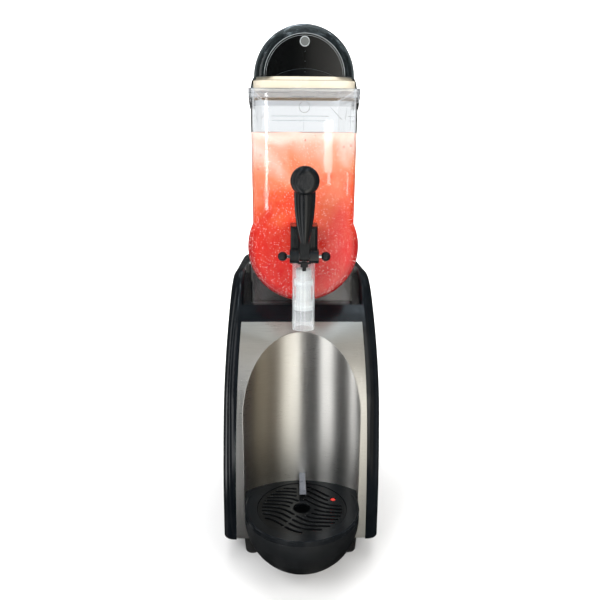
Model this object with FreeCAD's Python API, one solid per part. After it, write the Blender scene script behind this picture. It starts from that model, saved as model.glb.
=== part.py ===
import FreeCAD, Part
import math
import os

# Slush machine with one bowl. Millimetres, +Z up, the front faces -Y.
# The origin is the centre of the bottom of the bounding box, on the table.

V = FreeCAD.Vector
X_AXIS = V(1, 0, 0)
Y_AXIS = V(0, 1, 0)
Z_AXIS = V(0, 0, 1)

# Fits and clearances; FAR reaches past the object from its middle
SEAT_GAP = 0.3
FIT = 0.05
RUN_GAP = 0.5
FAR = 300.0

# Body envelope
BODY_HALF_WIDTH = 127.5
BODY_SIDE_RADIUS = 5700.0
BODY_BOTTOM = 38.0
BODY_REAR = 250.0
BODY_CEILING = 520.0
FRONT_Y = -120.5
LEAN_START_Z = 255.0
LEAN_RADIUS = 275.0
LEAN_ANGLE = 44.0
CREST_RADIUS = 70.0
CREST_SLOPE = 5.0
REAR_TOP_RADIUS = 20.0
CORNER_RADIUS = 17.0
SHELL_WALL = 3.0
SEAM_Z = 401.0
SEAM_GAP = 0.4
BAND = 21.3

# Front steel sheet and the cup recess
STEEL_SHEET = 1.2
RECESS_RADIUS = 143.0
RECESS_BACK_Y = -87.0
RECESS_FLOOR_Z = 98.0

# Feet and floor pan
FOOT_HEIGHT = 38.0
FOOT_TOP_RADIUS = 15.0
FOOT_BOTTOM_RADIUS = 12.0
FOOT_X = 81.0
FOOT_FRONT_Y = -94.0
FOOT_REAR_Y = 205.0
PAN_SHEET = 2.0
PAN_FLANGE = 22.0

# Side frames
FRAME_X = 99.0
FRAME_SHEET = 2.0
FRAME_FRONT_Y = -56.0
FRAME_REAR_Y = 236.0
FRAME_FLANGE = 18.0
FRAME_WINDOW = 74.0
BOSS_RADIUS = 6.0

# Rear panel
REAR_SHEET = 1.5
REAR_SET_IN = 3.0
LOUVRE_COUNT = 9
LOUVRE_PITCH = 16.0
LOUVRE_HEIGHT = 5.0
LOUVRE_HALF_LENGTH = 70.0
LOUVRE_START_Z = 140.0

# Upper housing
DECK_Z = 424.0
RAIL_WIDTH = 35.5
TROUGH_HALF = BODY_HALF_WIDTH - RAIL_WIDTH
WING_EDGE_RADIUS = 4.8

# Bowl
AXIS_Z = 529.0
DRUM_RADIUS = 78.5
BOWL_WALL = 3.0
BOWL_FRONT_Y = -140.0
BOWL_REAR_Y = 164.0
BOWL_HALF_LOW = 70.7
BOWL_HALF_TOP = 72.2
BOWL_TOP_Z = 743.0
BOWL_FRONT_RADIUS = 7.0
BOWL_NOTCH_RADIUS = 6.0
RIM_OVERHANG = 2.6
RIM_HEIGHT = 11.5
LUG_DEPTH = 26.0
LUG_LENGTH = 60.0
FRONT_TAB_HALF = 18.2
FRONT_TAB_HEIGHT = 11.0
FRONT_TAB_DEPTH = 5.5
KEY_TAB_RADIUS = 7.2
KEY_STEM_HALF = 3.5
KEY_DROP = 20.0
SKIRT_GAP = 12.0
SKIRT_HALF = TROUGH_HALF - SKIRT_GAP
SKIRT_FRONT_Y = -50.0
SKIRT_TOP_Z = 540.0
REAR_RIB_HALF = 52.0
REAR_RIB_Z = 714.0
PORT_Z = 464.0
PORT_RADIUS = 8.0
SLUSH_LEVEL_Z = 687.0

# Evaporator and auger
COLD_DRUM_RADIUS = 50.0
COLD_DRUM_WALL = 1.5
COLD_DRUM_FRONT_Y = -98.0
COLD_FLANGE_RADIUS = 66.0
COLD_FLANGE = 3.0
SHAFT_RADIUS = 6.0
SHAFT_FRONT_Y = -118.0
BUSH_WALL = 5.0
BUSH_LENGTH = 14.0
AUGER_RADIUS = 69.0
AUGER_PITCH = 88.0
AUGER_BLADE = 4.0
AUGER_PLATE = 5.0
AUGER_HUB_RADIUS = 13.0
AUGER_HUB_LENGTH = 17.0
AUGER_HOLE_RADIUS = 13.0
AUGER_REAR_Y = 150.0
AUGER_SWEEP_GAP = 1.5

# Bulkhead, gear motor and its cover
BULKHEAD_Y = 166.0
BULKHEAD_SHEET = 2.0
TOWER_GAP = 6.0
TOWER_HALF = TROUGH_HALF - TOWER_GAP
TOWER_ARC_Z = 534.0
COVER_WALL = 2.5
COVER_REAR_Y = 234.0
COVER_EDGE_RADIUS = 10.0
SEAL_RADIAL = 6.0
BRACKET_SHEET = 3.0
BRACKET_HALF = 34.0
BRACKET_TOP_Z = 590.0
GEARBOX_HALF = 38.0
GEARBOX_DEPTH = 28.0
GEARBOX_LOW_Z = 440.0
GEARBOX_HIGH_Z = 560.0
MOTOR_RADIUS = 31.0
MOTOR_LENGTH = 28.0
MOTOR_Z = 476.0
TERMINAL_HALF = 9.0
TERMINAL_DEPTH = 14.0
TERMINAL_HEIGHT = 8.0

# Controls on the rear of the motor cover
SWITCH_HALF_X = 7.5
SWITCH_HALF_Z = 11.0
SWITCH_PITCH = 30.0
SWITCH_Z = 560.0
SWITCH_BEZEL = 2.0
ROCKER_TILT = 8.0
ROCKER_PIN_RADIUS = 1.5
ROCKER_WALL = 1.2
KNOB_RADIUS = 15.0
KNOB_LENGTH = 13.0
KNOB_Z = 524.0
KNOB_STEM_RADIUS = 3.0

# Drip tray, grate, float and drain spout
TRAY_TOP_Z = 127.0
TRAY_CENTRE_Y = -161.5
TRAY_RADIUS = 88.5
TRAY_LIP = 12.0
TRAY_BOTTOM_Z = 28.0
TRAY_WALL = 3.0
GRATE_RADIUS = 69.0
GRATE_SHEET = 3.5
GRATE_LEDGE = 4.0
GRATE_DROP = 1.0
GRATE_CENTRE_Y = -164.0
GRATE_HOLE_RADIUS = 13.3
SLOT_WIDTH = 3.6
SLOT_PITCH = 8.4
SLOT_MARGIN = 6.5
SLOT_WAVE = 21.0
SLOT_LEAN = 0.74
SLOT_HUB_MARGIN = 4.5
SLOT_FLOAT_MARGIN = 3.5
BRIDGE_REAR_HALF = 9.5
BRIDGE_FRONT_HALF = 4.0
BRIDGE_LEAN = 0.62
FLOAT_X = 49.7
FLOAT_Y = -140.0
FLOAT_RADIUS = 4.2
FLOAT_FOOT_RADIUS = 11.0
FLOAT_FOOT_HEIGHT = 8.0
FLOAT_FOOT_SHIFT = 4.0
FLOAT_DROP = 1.0
SPOUT_HALF = 5.2
SPOUT_HEIGHT = 9.0
SPOUT_EDGE = 2.5
SPOUT_FRONT_Y = -137.0
SPOUT_Z = 136.5
SPOUT_WALL = 1.2
SPOUT_X = 2.0
SPOUT_TAIL = 10.0

# Tap
TAP_Y = -165.0
TUBE_RADIUS = 15.9
TUBE_WALL = 2.5
TUBE_BOTTOM_Z = 418.5
TUBE_TOP_Z = 519.0
NECK_RADIUS = 11.5
PISTON_RADIUS = 10.6
PISTON_BOTTOM_Z = 447.0
PISTON_FLANGE = 12.0
PISTON_COLLAR_Z = TUBE_TOP_Z - 37.0
PISTON_COLLAR = 8.0
PISTON_SHOULDER_Z = TUBE_TOP_Z - 14.0
PISTON_RING_WIDTH = 2.4
PISTON_RING_DEPTH = 1.6
ROD_RADIUS = 5.0
ROD_TOP_Z = TUBE_TOP_Z + 5.0
ROD_CAP_RADIUS = 9.0
ROD_CAP = 2.0
EYE_HALF = 3.5
EYE_SPACE = 0.4
PIVOT_Y = -186.0
PIVOT_Z = TUBE_TOP_Z + 7.0
FINGER_LENGTH = 20.0
FINGER_ANGLE = -30.0
FINGER_TIP_RADIUS = 3.0
FINGER_HALF_WIDTH = 3.0
FINGER_HALF_DEPTH = 2.0
SPRING_RADIUS = 7.2
SPRING_WIRE = 0.65
SPRING_TURNS = 7.0
COIL_STEPS = 16
GUIDE_RADIUS = 4.0
GUIDE_LENGTH = 13.0
BRACKET_BLOCK_HALF = 18.5
BRACKET_BLOCK_TOP = TUBE_TOP_Z + 46.0
BRACKET_BLOCK_FRONT = -178.5
BRACKET_BORE_RADIUS = 11.5
BRACKET_ROOF = 4.0
BRACKET_EYE_ROOF = 14.0
SLOT_CLEARANCE = 1.0
EAR_INNER = 7.0
EAR_OUTER = 19.5
EAR_RADIUS = 9.5
TONGUE_HALF = 5.0
TONGUE_TIP_HALF = 2.6
TONGUE_STEP_Z = PIVOT_Z - 14.0
TONGUE_LOW_Z = PIVOT_Z - 19.0
TONGUE_DEPTH = 4.0
TONGUE_SET_FORWARD = 6.0
PIN_RADIUS = 2.5
PIN_HALF = 30.0
PIN_BALL_X = 29.1
PIN_BALL_RADIUS = 6.4
HUB_RADIUS = 6.3
HANDLE_LOW_HALF = 9.4
HANDLE_HIGH_HALF = 14.0
HANDLE_LOW_Z = PIVOT_Z + 14.0
HANDLE_HIGH_Z = PIVOT_Z + 87.0
HANDLE_LOW_Y = -187.0
HANDLE_HIGH_Y = -196.0
HANDLE_DEPTH = 12.0
LEVER_KNOB_Z = PIVOT_Z + 101.0
LEVER_KNOB_Y = -197.0
LEVER_KNOB_RADIUS = 19.0
LEVER_KNOB_DEPTH = 22.0

# Lid
LID_GAP = 0.3
LID_HALF = 68.7
LID_BAND_HEIGHT = 10.0
LID_FLANGE_HEIGHT = 4.5
LID_PLUG_DROP = 3.0
LID_PLUG_GAP = 1.0
LID_CORNER = 20.0
LID_FLANGE_CORNER = 38.0
LID_FLANGE_SET_IN = 2.8
LID_FRONT_Y = -139.0
LID_REAR_Y = 158.0
LID_WALL = 2.5
DOME_RADIUS = 67.5
DOME_FACE_RADIUS = 53.5
DOME_FRONT_Y = -137.0
DOME_BEVEL = 32.0
DOME_WALL = 2.5
DOME_SKIRT_Z = 744.5
DOME_SKIRT_RISE = 2.0
DOME_SKIRT_SPREAD = 4.3
DOME_SKIRT_FLARE = 1.7
DOME_REAR_SET = 1.0
INSERT_RADIUS = 50.0
INSERT_SHEET = 3.0
INSERT_BACK = 5.5
BOSS_Z = 801.0
LID_BOSS_RADIUS = 6.8
LIGHT_HALF = 40.0
LIGHT_SET_BACK = 30.0
LIGHT_DEPTH = 14.0
LAMP_PITCH = 16.0

# Refrigeration, inside the body
COMPRESSOR_Y = 20.0
COMPRESSOR_RADIUS = 54.0
COMPRESSOR_LOW_Z = 58.0
COMPRESSOR_HIGH_Z = 205.0
COMPRESSOR_DOME = 24.0
MOUNT_HALF = 62.0
MOUNT_RADIUS = 9.0
FAN_Z = 180.0
FAN_RADIUS = 78.0
FAN_Y = 132.0
FAN_DEPTH = 18.0
FAN_BLADES = 5
FAN_HUB_RADIUS = 19.0
FAN_MOTOR_RADIUS = 30.0
FAN_MOTOR_LENGTH = 30.0
FAN_SHAFT_RADIUS = 2.5
FAN_MOTOR_GAP = 4.0
FAN_SHAFT_SET = 6.0
FAN_VANE_TWIST = 20.0
FAN_VANE_HALF = 20.0
FAN_STAND_HALF = 20.0
SHROUD_HALF = 88.0
SHROUD_WALL = 1.5
SHROUD_REAR_Y = 150.0
SHROUD_DEPTH = 26.0
CONDENSER_DEPTH = 40.0
CONDENSER_FINS = 15
CONDENSER_TUBES = 5
FIN_SHEET = 1.6
DRIER_RADIUS = 9.5
DRIER_X = 74.0
DRIER_LOW_Z = 290.0
DRIER_LENGTH = 78.0
PIPE_RADIUS = 3.5
PIPE_BEND = 4.0
PIPE_TOP_X = 22.0
PIPE_RISER_X = 44.0
PIPE_RISER_Y = 186.0
PIPE_ENTRY_Z = 545.0
PIPE_HOLE_GAP = 1.0
PIPE_DIP = 7.9
SUCTION_RISE = 145.0
DISCHARGE_RISE = 115.0
SUCTION_RUN = 80.0
CAPILLARY_RADIUS = 1.4
CAPILLARY_COIL = 16.0
CAPILLARY_TURNS = 4.0

# Electrics
BOARD_X = 62.0
BOARD_HALF = 38.0
BOARD_SHEET = 2.0
INLET_X = -72.0
INLET_Z = 78.0
INLET_HALF_X = 14.0
INLET_HALF_Z = 10.0
SCREW_RADIUS = 3.6
SCREW_HEAD = 2.2
SCREW_SHANK_RADIUS = 1.8
SCREW_SHANK = 3.0


# Shape helpers

def box(x0, x1, y0, y1, z0, z1):
    return Part.makeBox(x1 - x0, y1 - y0, z1 - z0, V(x0, y0, z0))


def cylinder(radius, start, direction, length):
    return Part.makeCylinder(radius, length, start, direction)


def tube(radius, bore, start, direction, length):
    outer = cylinder(radius, start, direction, length)
    return outer.cut(cylinder(bore, start, direction, length))


def cone(radius_low, radius_high, start, direction, length):
    return Part.makeCone(radius_low, radius_high, length, start, direction)


def face_of(edges):
    return Part.Face(Part.Wire(edges))


def line(a, b):
    return Part.LineSegment(a, b).toShape()


def arc(a, middle, b):
    return Part.Arc(a, middle, b).toShape()


def polygon(points):
    return Part.Face(Part.makePolygon(points + [points[0]]))


def mirror_x(shape):
    return shape.mirror(V(0, 0, 0), X_AXIS)


def both_sides(shape):
    return [shape, mirror_x(shape)]


def fuse(shapes):
    whole = shapes[0].multiFuse(shapes[1:])
    return whole.removeSplitter()


def group(shapes):
    return Part.makeCompound(shapes)


def round_edges(shape, radius, chosen):
    edges = [edge for edge in shape.Edges if chosen(edge)]
    if not edges:
        return shape
    return shape.makeFillet(radius, edges)


def mid_point(edge):
    return edge.valueAt((edge.FirstParameter + edge.LastParameter) / 2)


# Body envelope: the space that casings and panels share

def half_width(z):
    return BODY_HALF_WIDTH - (z - BODY_BOTTOM) ** 2 / (2 * BODY_SIDE_RADIUS)


def width_prism(inset, low_z, high_z):
    """Prism along Y whose sides follow the body's curved flanks, moved in by inset."""
    middle = (low_z + high_z) / 2
    a = V(half_width(low_z) - inset, -FAR, low_z)
    b = V(half_width(middle) - inset, -FAR, middle)
    c = V(half_width(high_z) - inset, -FAR, high_z)
    left = [V(-p.x, p.y, p.z) for p in (a, b, c)]
    edges = [arc(a, b, c), line(c, left[2]), arc(left[2], left[1], left[0]), line(left[0], a)]
    return face_of(edges).extrude(V(0, 2 * FAR, 0))


def lean_point(angle, radius):
    """Point on the leaning front arc, the angle counted from the vertical front."""
    turn = math.radians(angle)
    return V(0, FRONT_Y + LEAN_RADIUS - radius * math.cos(turn), LEAN_START_Z + radius * math.sin(turn))


def side_prism(inset, low_z):
    """Prism along X with the body's side outline, moved in by inset."""
    front_low = V(0, FRONT_Y + inset, low_z)
    front_high = V(0, FRONT_Y + inset, LEAN_START_Z)
    lean_mid = lean_point(LEAN_ANGLE / 2, LEAN_RADIUS - inset)
    lean_end = lean_point(LEAN_ANGLE, LEAN_RADIUS - inset)
    crest = lean_point(LEAN_ANGLE, LEAN_RADIUS - CREST_RADIUS)
    radius = CREST_RADIUS - inset
    half_turn = math.radians((LEAN_ANGLE - 90 - CREST_SLOPE) / 2 + CREST_SLOPE)
    crest_mid = crest + V(0, radius * math.sin(half_turn), radius * math.cos(half_turn))
    slope = math.radians(CREST_SLOPE)
    crest_end = crest + V(0, radius * math.sin(slope), radius * math.cos(slope))
    rear = BODY_REAR - inset
    rear_high = crest_end + V(0, rear - crest_end.y, -(rear - crest_end.y) * math.tan(slope))
    rear_low = V(0, rear, low_z)
    edges = [line(front_low, front_high), arc(front_high, lean_mid, lean_end),
             arc(lean_end, crest_mid, crest_end), line(crest_end, rear_high),
             line(rear_high, rear_low), line(rear_low, front_low)]
    prism = face_of([edge.translated(V(-FAR, 0, 0)) for edge in edges]).extrude(V(2 * FAR, 0, 0))
    return round_edges(prism, REAR_TOP_RADIUS - inset,
                       lambda e: abs(mid_point(e).x) < 1 and mid_point(e).sub(rear_high).y > -1
                       and abs(mid_point(e).z - rear_high.z) < 1)


def envelope(inset, low_z=BODY_BOTTOM):
    """The body's outer form, moved in by inset, with its long corners rounded."""
    block = width_prism(inset, low_z, BODY_CEILING).common(side_prism(inset, low_z))

    def on_flank(edge):
        p = mid_point(edge)
        return abs(abs(p.x) - (half_width(p.z) - inset)) < 0.2 and p.z > low_z + 1
    return round_edges(block, CORNER_RADIUS - inset, on_flank)


def slice_z(shape, low_z, high_z):
    return shape.common(box(-FAR, FAR, -FAR, FAR, low_z, high_z))


OUTER = envelope(0.0)
INNER = envelope(SHELL_WALL, BODY_BOTTOM - 5)
SHELL = OUTER.cut(INNER)


# Recess geometry shared by sheet, shell and tray

def recess_centre_y():
    return RECESS_BACK_Y - RECESS_RADIUS


def recess_cylinder(radius, low_z, high_z):
    return cylinder(radius, V(0, recess_centre_y(), low_z), Z_AXIS, high_z - low_z)


# Panels

def side_panel():
    lower = slice_z(SHELL, BODY_BOTTOM, SEAM_Z - SEAM_GAP)
    core = width_prism(BAND, BODY_BOTTOM - 10, BODY_CEILING)
    right = lower.cut(core).common(box(0, FAR, -FAR, FAR, 0, 500))
    bosses = [cylinder(BOSS_RADIUS, V(FRAME_X + FRAME_SHEET + SEAT_GAP, y, z), X_AXIS,
                       half_width(z) - SHELL_WALL / 2 - FRAME_X - FRAME_SHEET - SEAT_GAP)
              for y in (FRAME_FRONT_Y + 20, FRAME_REAR_Y - 20) for z in (BODY_BOTTOM + 40, SEAM_Z - 40)]
    return fuse([right] + bosses)


def front_panel():
    sheet = OUTER.cut(envelope(STEEL_SHEET, BODY_BOTTOM - 5))
    sheet = slice_z(sheet, BODY_BOTTOM + PAN_SHEET, SEAM_Z - SEAM_GAP)
    sheet = sheet.common(box(-FAR, FAR, -FAR, 0, 0, 500))
    sheet = sheet.common(width_prism(BAND + SEAT_GAP, BODY_BOTTOM - 10, BODY_CEILING))
    opening = recess_cylinder(RECESS_RADIUS, RECESS_FLOOR_Z, SEAM_Z)
    return sheet.cut(opening)


def cup_recess():
    high = SEAM_Z
    inside = envelope(STEEL_SHEET + FIT * 2, BODY_BOTTOM - 5)
    wall = recess_cylinder(RECESS_RADIUS + STEEL_SHEET, RECESS_FLOOR_Z - STEEL_SHEET, high)
    wall = wall.cut(recess_cylinder(RECESS_RADIUS, RECESS_FLOOR_Z, high))
    spout_hole = spout_bar(-FIT, RECESS_BACK_Y - SPOUT_TAIL)
    return wall.cut(spout_hole).common(inside)


def rear_face():
    return BODY_REAR - REAR_SET_IN


def rear_panel():
    inner = width_prism(BAND + SEAT_GAP, BODY_BOTTOM - 10, BODY_CEILING)
    plate = box(-FAR, FAR, rear_face() - REAR_SHEET, rear_face(), BODY_BOTTOM + PAN_SHEET,
                SEAM_Z - SEAM_GAP)
    plate = plate.common(inner)
    cuts = []
    for row in range(LOUVRE_COUNT):
        z = LOUVRE_START_Z + row * LOUVRE_PITCH
        cuts.append(box(-LOUVRE_HALF_LENGTH, LOUVRE_HALF_LENGTH, rear_face() - 5, BODY_REAR + 5,
                        z, z + LOUVRE_HEIGHT))
    cuts.append(box(INLET_X - INLET_HALF_X, INLET_X + INLET_HALF_X, rear_face() - 5, BODY_REAR + 5,
                    INLET_Z - INLET_HALF_Z, INLET_Z + INLET_HALF_Z))
    cuts += [screw_hole(place) for place in rear_screw_places()]
    return plate.cut(group(cuts))


def upper_housing():
    low = SEAM_Z
    outer = slice_z(OUTER, low, 600).cut(box(-TROUGH_HALF, TROUGH_HALF, -FAR, FAR, DECK_Z, 600))
    outer = round_edges(outer, WING_EDGE_RADIUS,
                        lambda e: abs(abs(mid_point(e).x) - TROUGH_HALF) < 0.1 and mid_point(e).z > DECK_Z + 8
                        and e.Length > 12 and mid_point(e).y < BODY_REAR - 1)
    side = TROUGH_HALF + SHELL_WALL
    inner = slice_z(INNER, low - 1, 600).cut(box(-side, side, -FAR, FAR, DECK_Z - SHELL_WALL, 600))
    holes = [cylinder(radius + PIPE_HOLE_GAP, V(x, y, low), Z_AXIS, DECK_Z - low + 1)
             for x, y, radius in risers()]
    return outer.cut(inner).cut(group(holes))


# Floor pan, feet and side frames

def pan_space(inset):
    """Room of the pan, moved in by inset from the casing and clear of the rear panel."""
    room = slice_z(envelope(inset, BODY_BOTTOM - 5), BODY_BOTTOM, BODY_BOTTOM + PAN_FLANGE)
    rear = rear_face() - REAR_SHEET - SEAT_GAP - SCREW_SHANK - inset
    return room.common(box(-FAR, FAR, -FAR, rear, 0, BODY_CEILING))


def base_pan():
    outset = SHELL_WALL + SEAT_GAP
    pan = pan_space(outset).cut(slice_z(pan_space(outset + PAN_SHEET), BODY_BOTTOM + PAN_SHEET, 100))
    return pan


def foot(x, y):
    pad = cone(FOOT_BOTTOM_RADIUS, FOOT_TOP_RADIUS, V(x, y, 0), Z_AXIS, FOOT_HEIGHT)
    pad = round_edges(pad, 2.0, lambda e: mid_point(e).z < 0.1)
    return pad


def frame_flange_top():
    return BODY_BOTTOM + PAN_SHEET + FRAME_SHEET


def side_frame():
    x = FRAME_X
    low = BODY_BOTTOM + PAN_SHEET
    high = DECK_Z - SHELL_WALL - SEAT_GAP
    plate = box(x, x + FRAME_SHEET, FRAME_FRONT_Y, FRAME_REAR_Y, low, high)
    foot_flange = box(x - FRAME_FLANGE, x, FRAME_FRONT_Y, FRAME_REAR_Y, low, low + FRAME_SHEET)
    top_flange = box(x - FRAME_FLANGE, x, FRAME_FRONT_Y + 4, FRAME_REAR_Y, high - FRAME_SHEET, high)
    frame = fuse([plate, foot_flange, top_flange])
    windows = []
    step = (FRAME_REAR_Y - FRAME_FRONT_Y) / 3
    rise = (high - low) / 3
    for column in range(3):
        for row in range(3):
            y = FRAME_FRONT_Y + step * (column + 0.5)
            z = low + rise * (row + 0.5)
            windows.append(box(x - 5, x + 5, y - FRAME_WINDOW / 2, y + FRAME_WINDOW / 2,
                               z - FRAME_WINDOW / 2, z + FRAME_WINDOW / 2))
    return frame.cut(group(windows))


# Bowl

def bowl_half(z):
    """Half width of the upper bowl at a height; it widens a little upwards."""
    share = (z - AXIS_Z) / (BOWL_TOP_Z - AXIS_Z)
    return BOWL_HALF_LOW + (BOWL_HALF_TOP - BOWL_HALF_LOW) * share


def bowl_prism(inset, front, rear, top):
    low = bowl_half(AXIS_Z) - inset
    high = bowl_half(top) - inset
    walls = polygon([V(-low, front, AXIS_Z), V(low, front, AXIS_Z), V(high, front, top),
                     V(-high, front, top)])
    upper = walls.extrude(V(0, rear - front, 0))
    drum = cylinder(DRUM_RADIUS - inset, V(0, front, AXIS_Z), Y_AXIS, rear - front)
    return fuse([upper, drum])


def bowl_body(inset, front, rear, top):
    block = bowl_prism(inset, front, rear, top)

    def in_notch(edge):
        p = mid_point(edge)
        across = abs(abs(p.x) - bowl_half(p.z) + inset)
        return across < 0.3 and AXIS_Z + 5 < p.z < AXIS_Z + 70 and abs(p.y - (front + rear) / 2) < 1
    block = round_edges(block, BOWL_NOTCH_RADIUS, in_notch)
    return round_edges(block, max(BOWL_FRONT_RADIUS - inset, 1.5),
                       lambda e: abs(mid_point(e).y - front) < 0.1 and mid_point(e).z < top - 1)


def plan_block(half, front, rear, low_z, high_z, corner):
    """Block with rounded upright corners."""
    block = box(-half, half, front, rear, low_z, high_z)
    return round_edges(block, corner, lambda e: abs(mid_point(e).z - (low_z + high_z) / 2) < 0.01)


def key_tab():
    """Small hanging tab in front of the rim: a stem that ends in a round."""
    low = BOWL_TOP_Z - FRONT_TAB_HEIGHT
    y = BOWL_FRONT_Y - FRONT_TAB_DEPTH / 2
    depth = FRONT_TAB_DEPTH / 2 + 1
    stem = box(-KEY_STEM_HALF, KEY_STEM_HALF, y, y + depth, low - KEY_DROP + KEY_TAB_RADIUS, low + 1)
    disc = cylinder(KEY_TAB_RADIUS, V(0, y, low - KEY_DROP + KEY_TAB_RADIUS), Y_AXIS, depth)
    return fuse([stem, disc])


def bowl():
    outer = bowl_body(0.0, BOWL_FRONT_Y, BOWL_REAR_Y, BOWL_TOP_Z)
    inner = bowl_body(BOWL_WALL, BOWL_FRONT_Y + BOWL_WALL, BOWL_REAR_Y - BOWL_WALL, BOWL_TOP_Z + 5)
    rear_hole = cylinder(DRUM_RADIUS - BOWL_WALL, V(0, 100, AXIS_Z), Y_AXIS, 100)
    port = cylinder(PORT_RADIUS, V(0, BOWL_FRONT_Y - 5, PORT_Z), Y_AXIS, 20)
    rim = plan_block(BOWL_HALF_TOP + RIM_OVERHANG, BOWL_FRONT_Y - RIM_OVERHANG, BOWL_REAR_Y + 1,
                     BOWL_TOP_Z - RIM_HEIGHT, BOWL_TOP_Z, 9.0)
    lug = polygon([V(BOWL_HALF_TOP - 1, BOWL_FRONT_Y + 8, BOWL_TOP_Z - LUG_DEPTH),
                   V(BOWL_HALF_TOP + 1, BOWL_FRONT_Y + 8, BOWL_TOP_Z - LUG_DEPTH),
                   V(BOWL_HALF_TOP + RIM_OVERHANG, BOWL_FRONT_Y + 8, BOWL_TOP_Z - LUG_DEPTH / 2),
                   V(BOWL_HALF_TOP + RIM_OVERHANG, BOWL_FRONT_Y + 8, BOWL_TOP_Z - 1),
                   V(BOWL_HALF_TOP - 1, BOWL_FRONT_Y + 8, BOWL_TOP_Z - 1)]).extrude(V(0, LUG_LENGTH, 0))
    tab = box(-FRONT_TAB_HALF, FRONT_TAB_HALF, BOWL_FRONT_Y - FRONT_TAB_DEPTH, BOWL_FRONT_Y + 1,
              BOWL_TOP_Z - FRONT_TAB_HEIGHT, BOWL_TOP_Z)
    skirt = box(-SKIRT_HALF, SKIRT_HALF, SKIRT_FRONT_Y, BOWL_REAR_Y, DECK_Z + SEAT_GAP, SKIRT_TOP_Z)
    skirt = skirt.cut(box(-SKIRT_HALF + BOWL_WALL, SKIRT_HALF - BOWL_WALL, SKIRT_FRONT_Y + BOWL_WALL,
                          BOWL_REAR_Y + 1, DECK_Z, SKIRT_TOP_Z + 1))
    above_wall = box(-SKIRT_HALF + BOWL_WALL, SKIRT_HALF - BOWL_WALL, -FAR, FAR, AXIS_Z, 700)
    rib = box(-REAR_RIB_HALF, REAR_RIB_HALF, BOWL_REAR_Y - BOWL_WALL - 2, BOWL_REAR_Y - BOWL_WALL + 1,
              REAR_RIB_Z, REAR_RIB_Z + 5)
    shell = fuse([outer, rim, tab, key_tab(), skirt.cut(above_wall)] + both_sides(lug))
    return shell.cut(inner).cut(rear_hole).cut(port).fuse(rib).removeSplitter()


def slush_fill():
    gap = BOWL_WALL + SEAT_GAP
    fill = bowl_body(gap, BOWL_FRONT_Y + gap, BOWL_REAR_Y - gap, SLUSH_LEVEL_Z)
    room = cylinder(AUGER_RADIUS + AUGER_SWEEP_GAP, V(0, auger_front() - AUGER_SWEEP_GAP, AXIS_Z),
                    Y_AXIS, 2 * FAR)
    return fill.cut(room)


def bowl_seal():
    start = V(0, BOWL_REAR_Y + FIT, AXIS_Z)
    length = BULKHEAD_Y - BOWL_REAR_Y - 2 * FIT
    return tube(DRUM_RADIUS - 0.5, DRUM_RADIUS - SEAL_RADIAL, start, Y_AXIS, length)


# Evaporator, auger and drive

def auger_front():
    return COLD_DRUM_FRONT_Y - 3 * RUN_GAP - AUGER_PLATE - AUGER_HUB_LENGTH


def evaporator_drum():
    start = V(0, COLD_DRUM_FRONT_Y, AXIS_Z)
    length = BULKHEAD_Y - COLD_DRUM_FRONT_Y
    can = cylinder(COLD_DRUM_RADIUS, start, Y_AXIS, length)
    can = round_edges(can, 6.0, lambda e: abs(mid_point(e).y - COLD_DRUM_FRONT_Y) < 0.1)
    flange = cylinder(COLD_FLANGE_RADIUS, V(0, BULKHEAD_Y - COLD_FLANGE, AXIS_Z), Y_AXIS, COLD_FLANGE)
    hollow = tube(COLD_DRUM_RADIUS - COLD_DRUM_WALL, SHAFT_RADIUS + BUSH_WALL + 2 * COLD_DRUM_WALL,
                  V(0, COLD_DRUM_FRONT_Y + BUSH_LENGTH, AXIS_Z), Y_AXIS,
                  length - BUSH_LENGTH - COLD_DRUM_WALL)
    bore = cylinder(SHAFT_RADIUS + BUSH_WALL + FIT, V(0, -FAR, AXIS_Z), Y_AXIS, 2 * FAR)
    return fuse([can, flange]).cut(hollow).cut(bore)


def bush(y):
    return tube(SHAFT_RADIUS + BUSH_WALL, SHAFT_RADIUS + FIT, V(0, y, AXIS_Z), Y_AXIS, BUSH_LENGTH)


def shaft_seal():
    return tube(SHAFT_RADIUS + BUSH_WALL, SHAFT_RADIUS + FIT, V(0, BULKHEAD_Y - 12, AXIS_Z), Y_AXIS, 10)


def helix_sweep(profile_wire, pitch, height, radius, start):
    """Sweep a closed profile along a helix that rises along +Z from the origin."""
    helix = Part.makeHelix(pitch, height, radius)
    solid = Part.Wire(helix.Edges).makePipeShell([profile_wire], True, True)
    solid.Placement = FreeCAD.Placement(start, FreeCAD.Rotation(X_AXIS, -90))
    return solid


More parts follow.
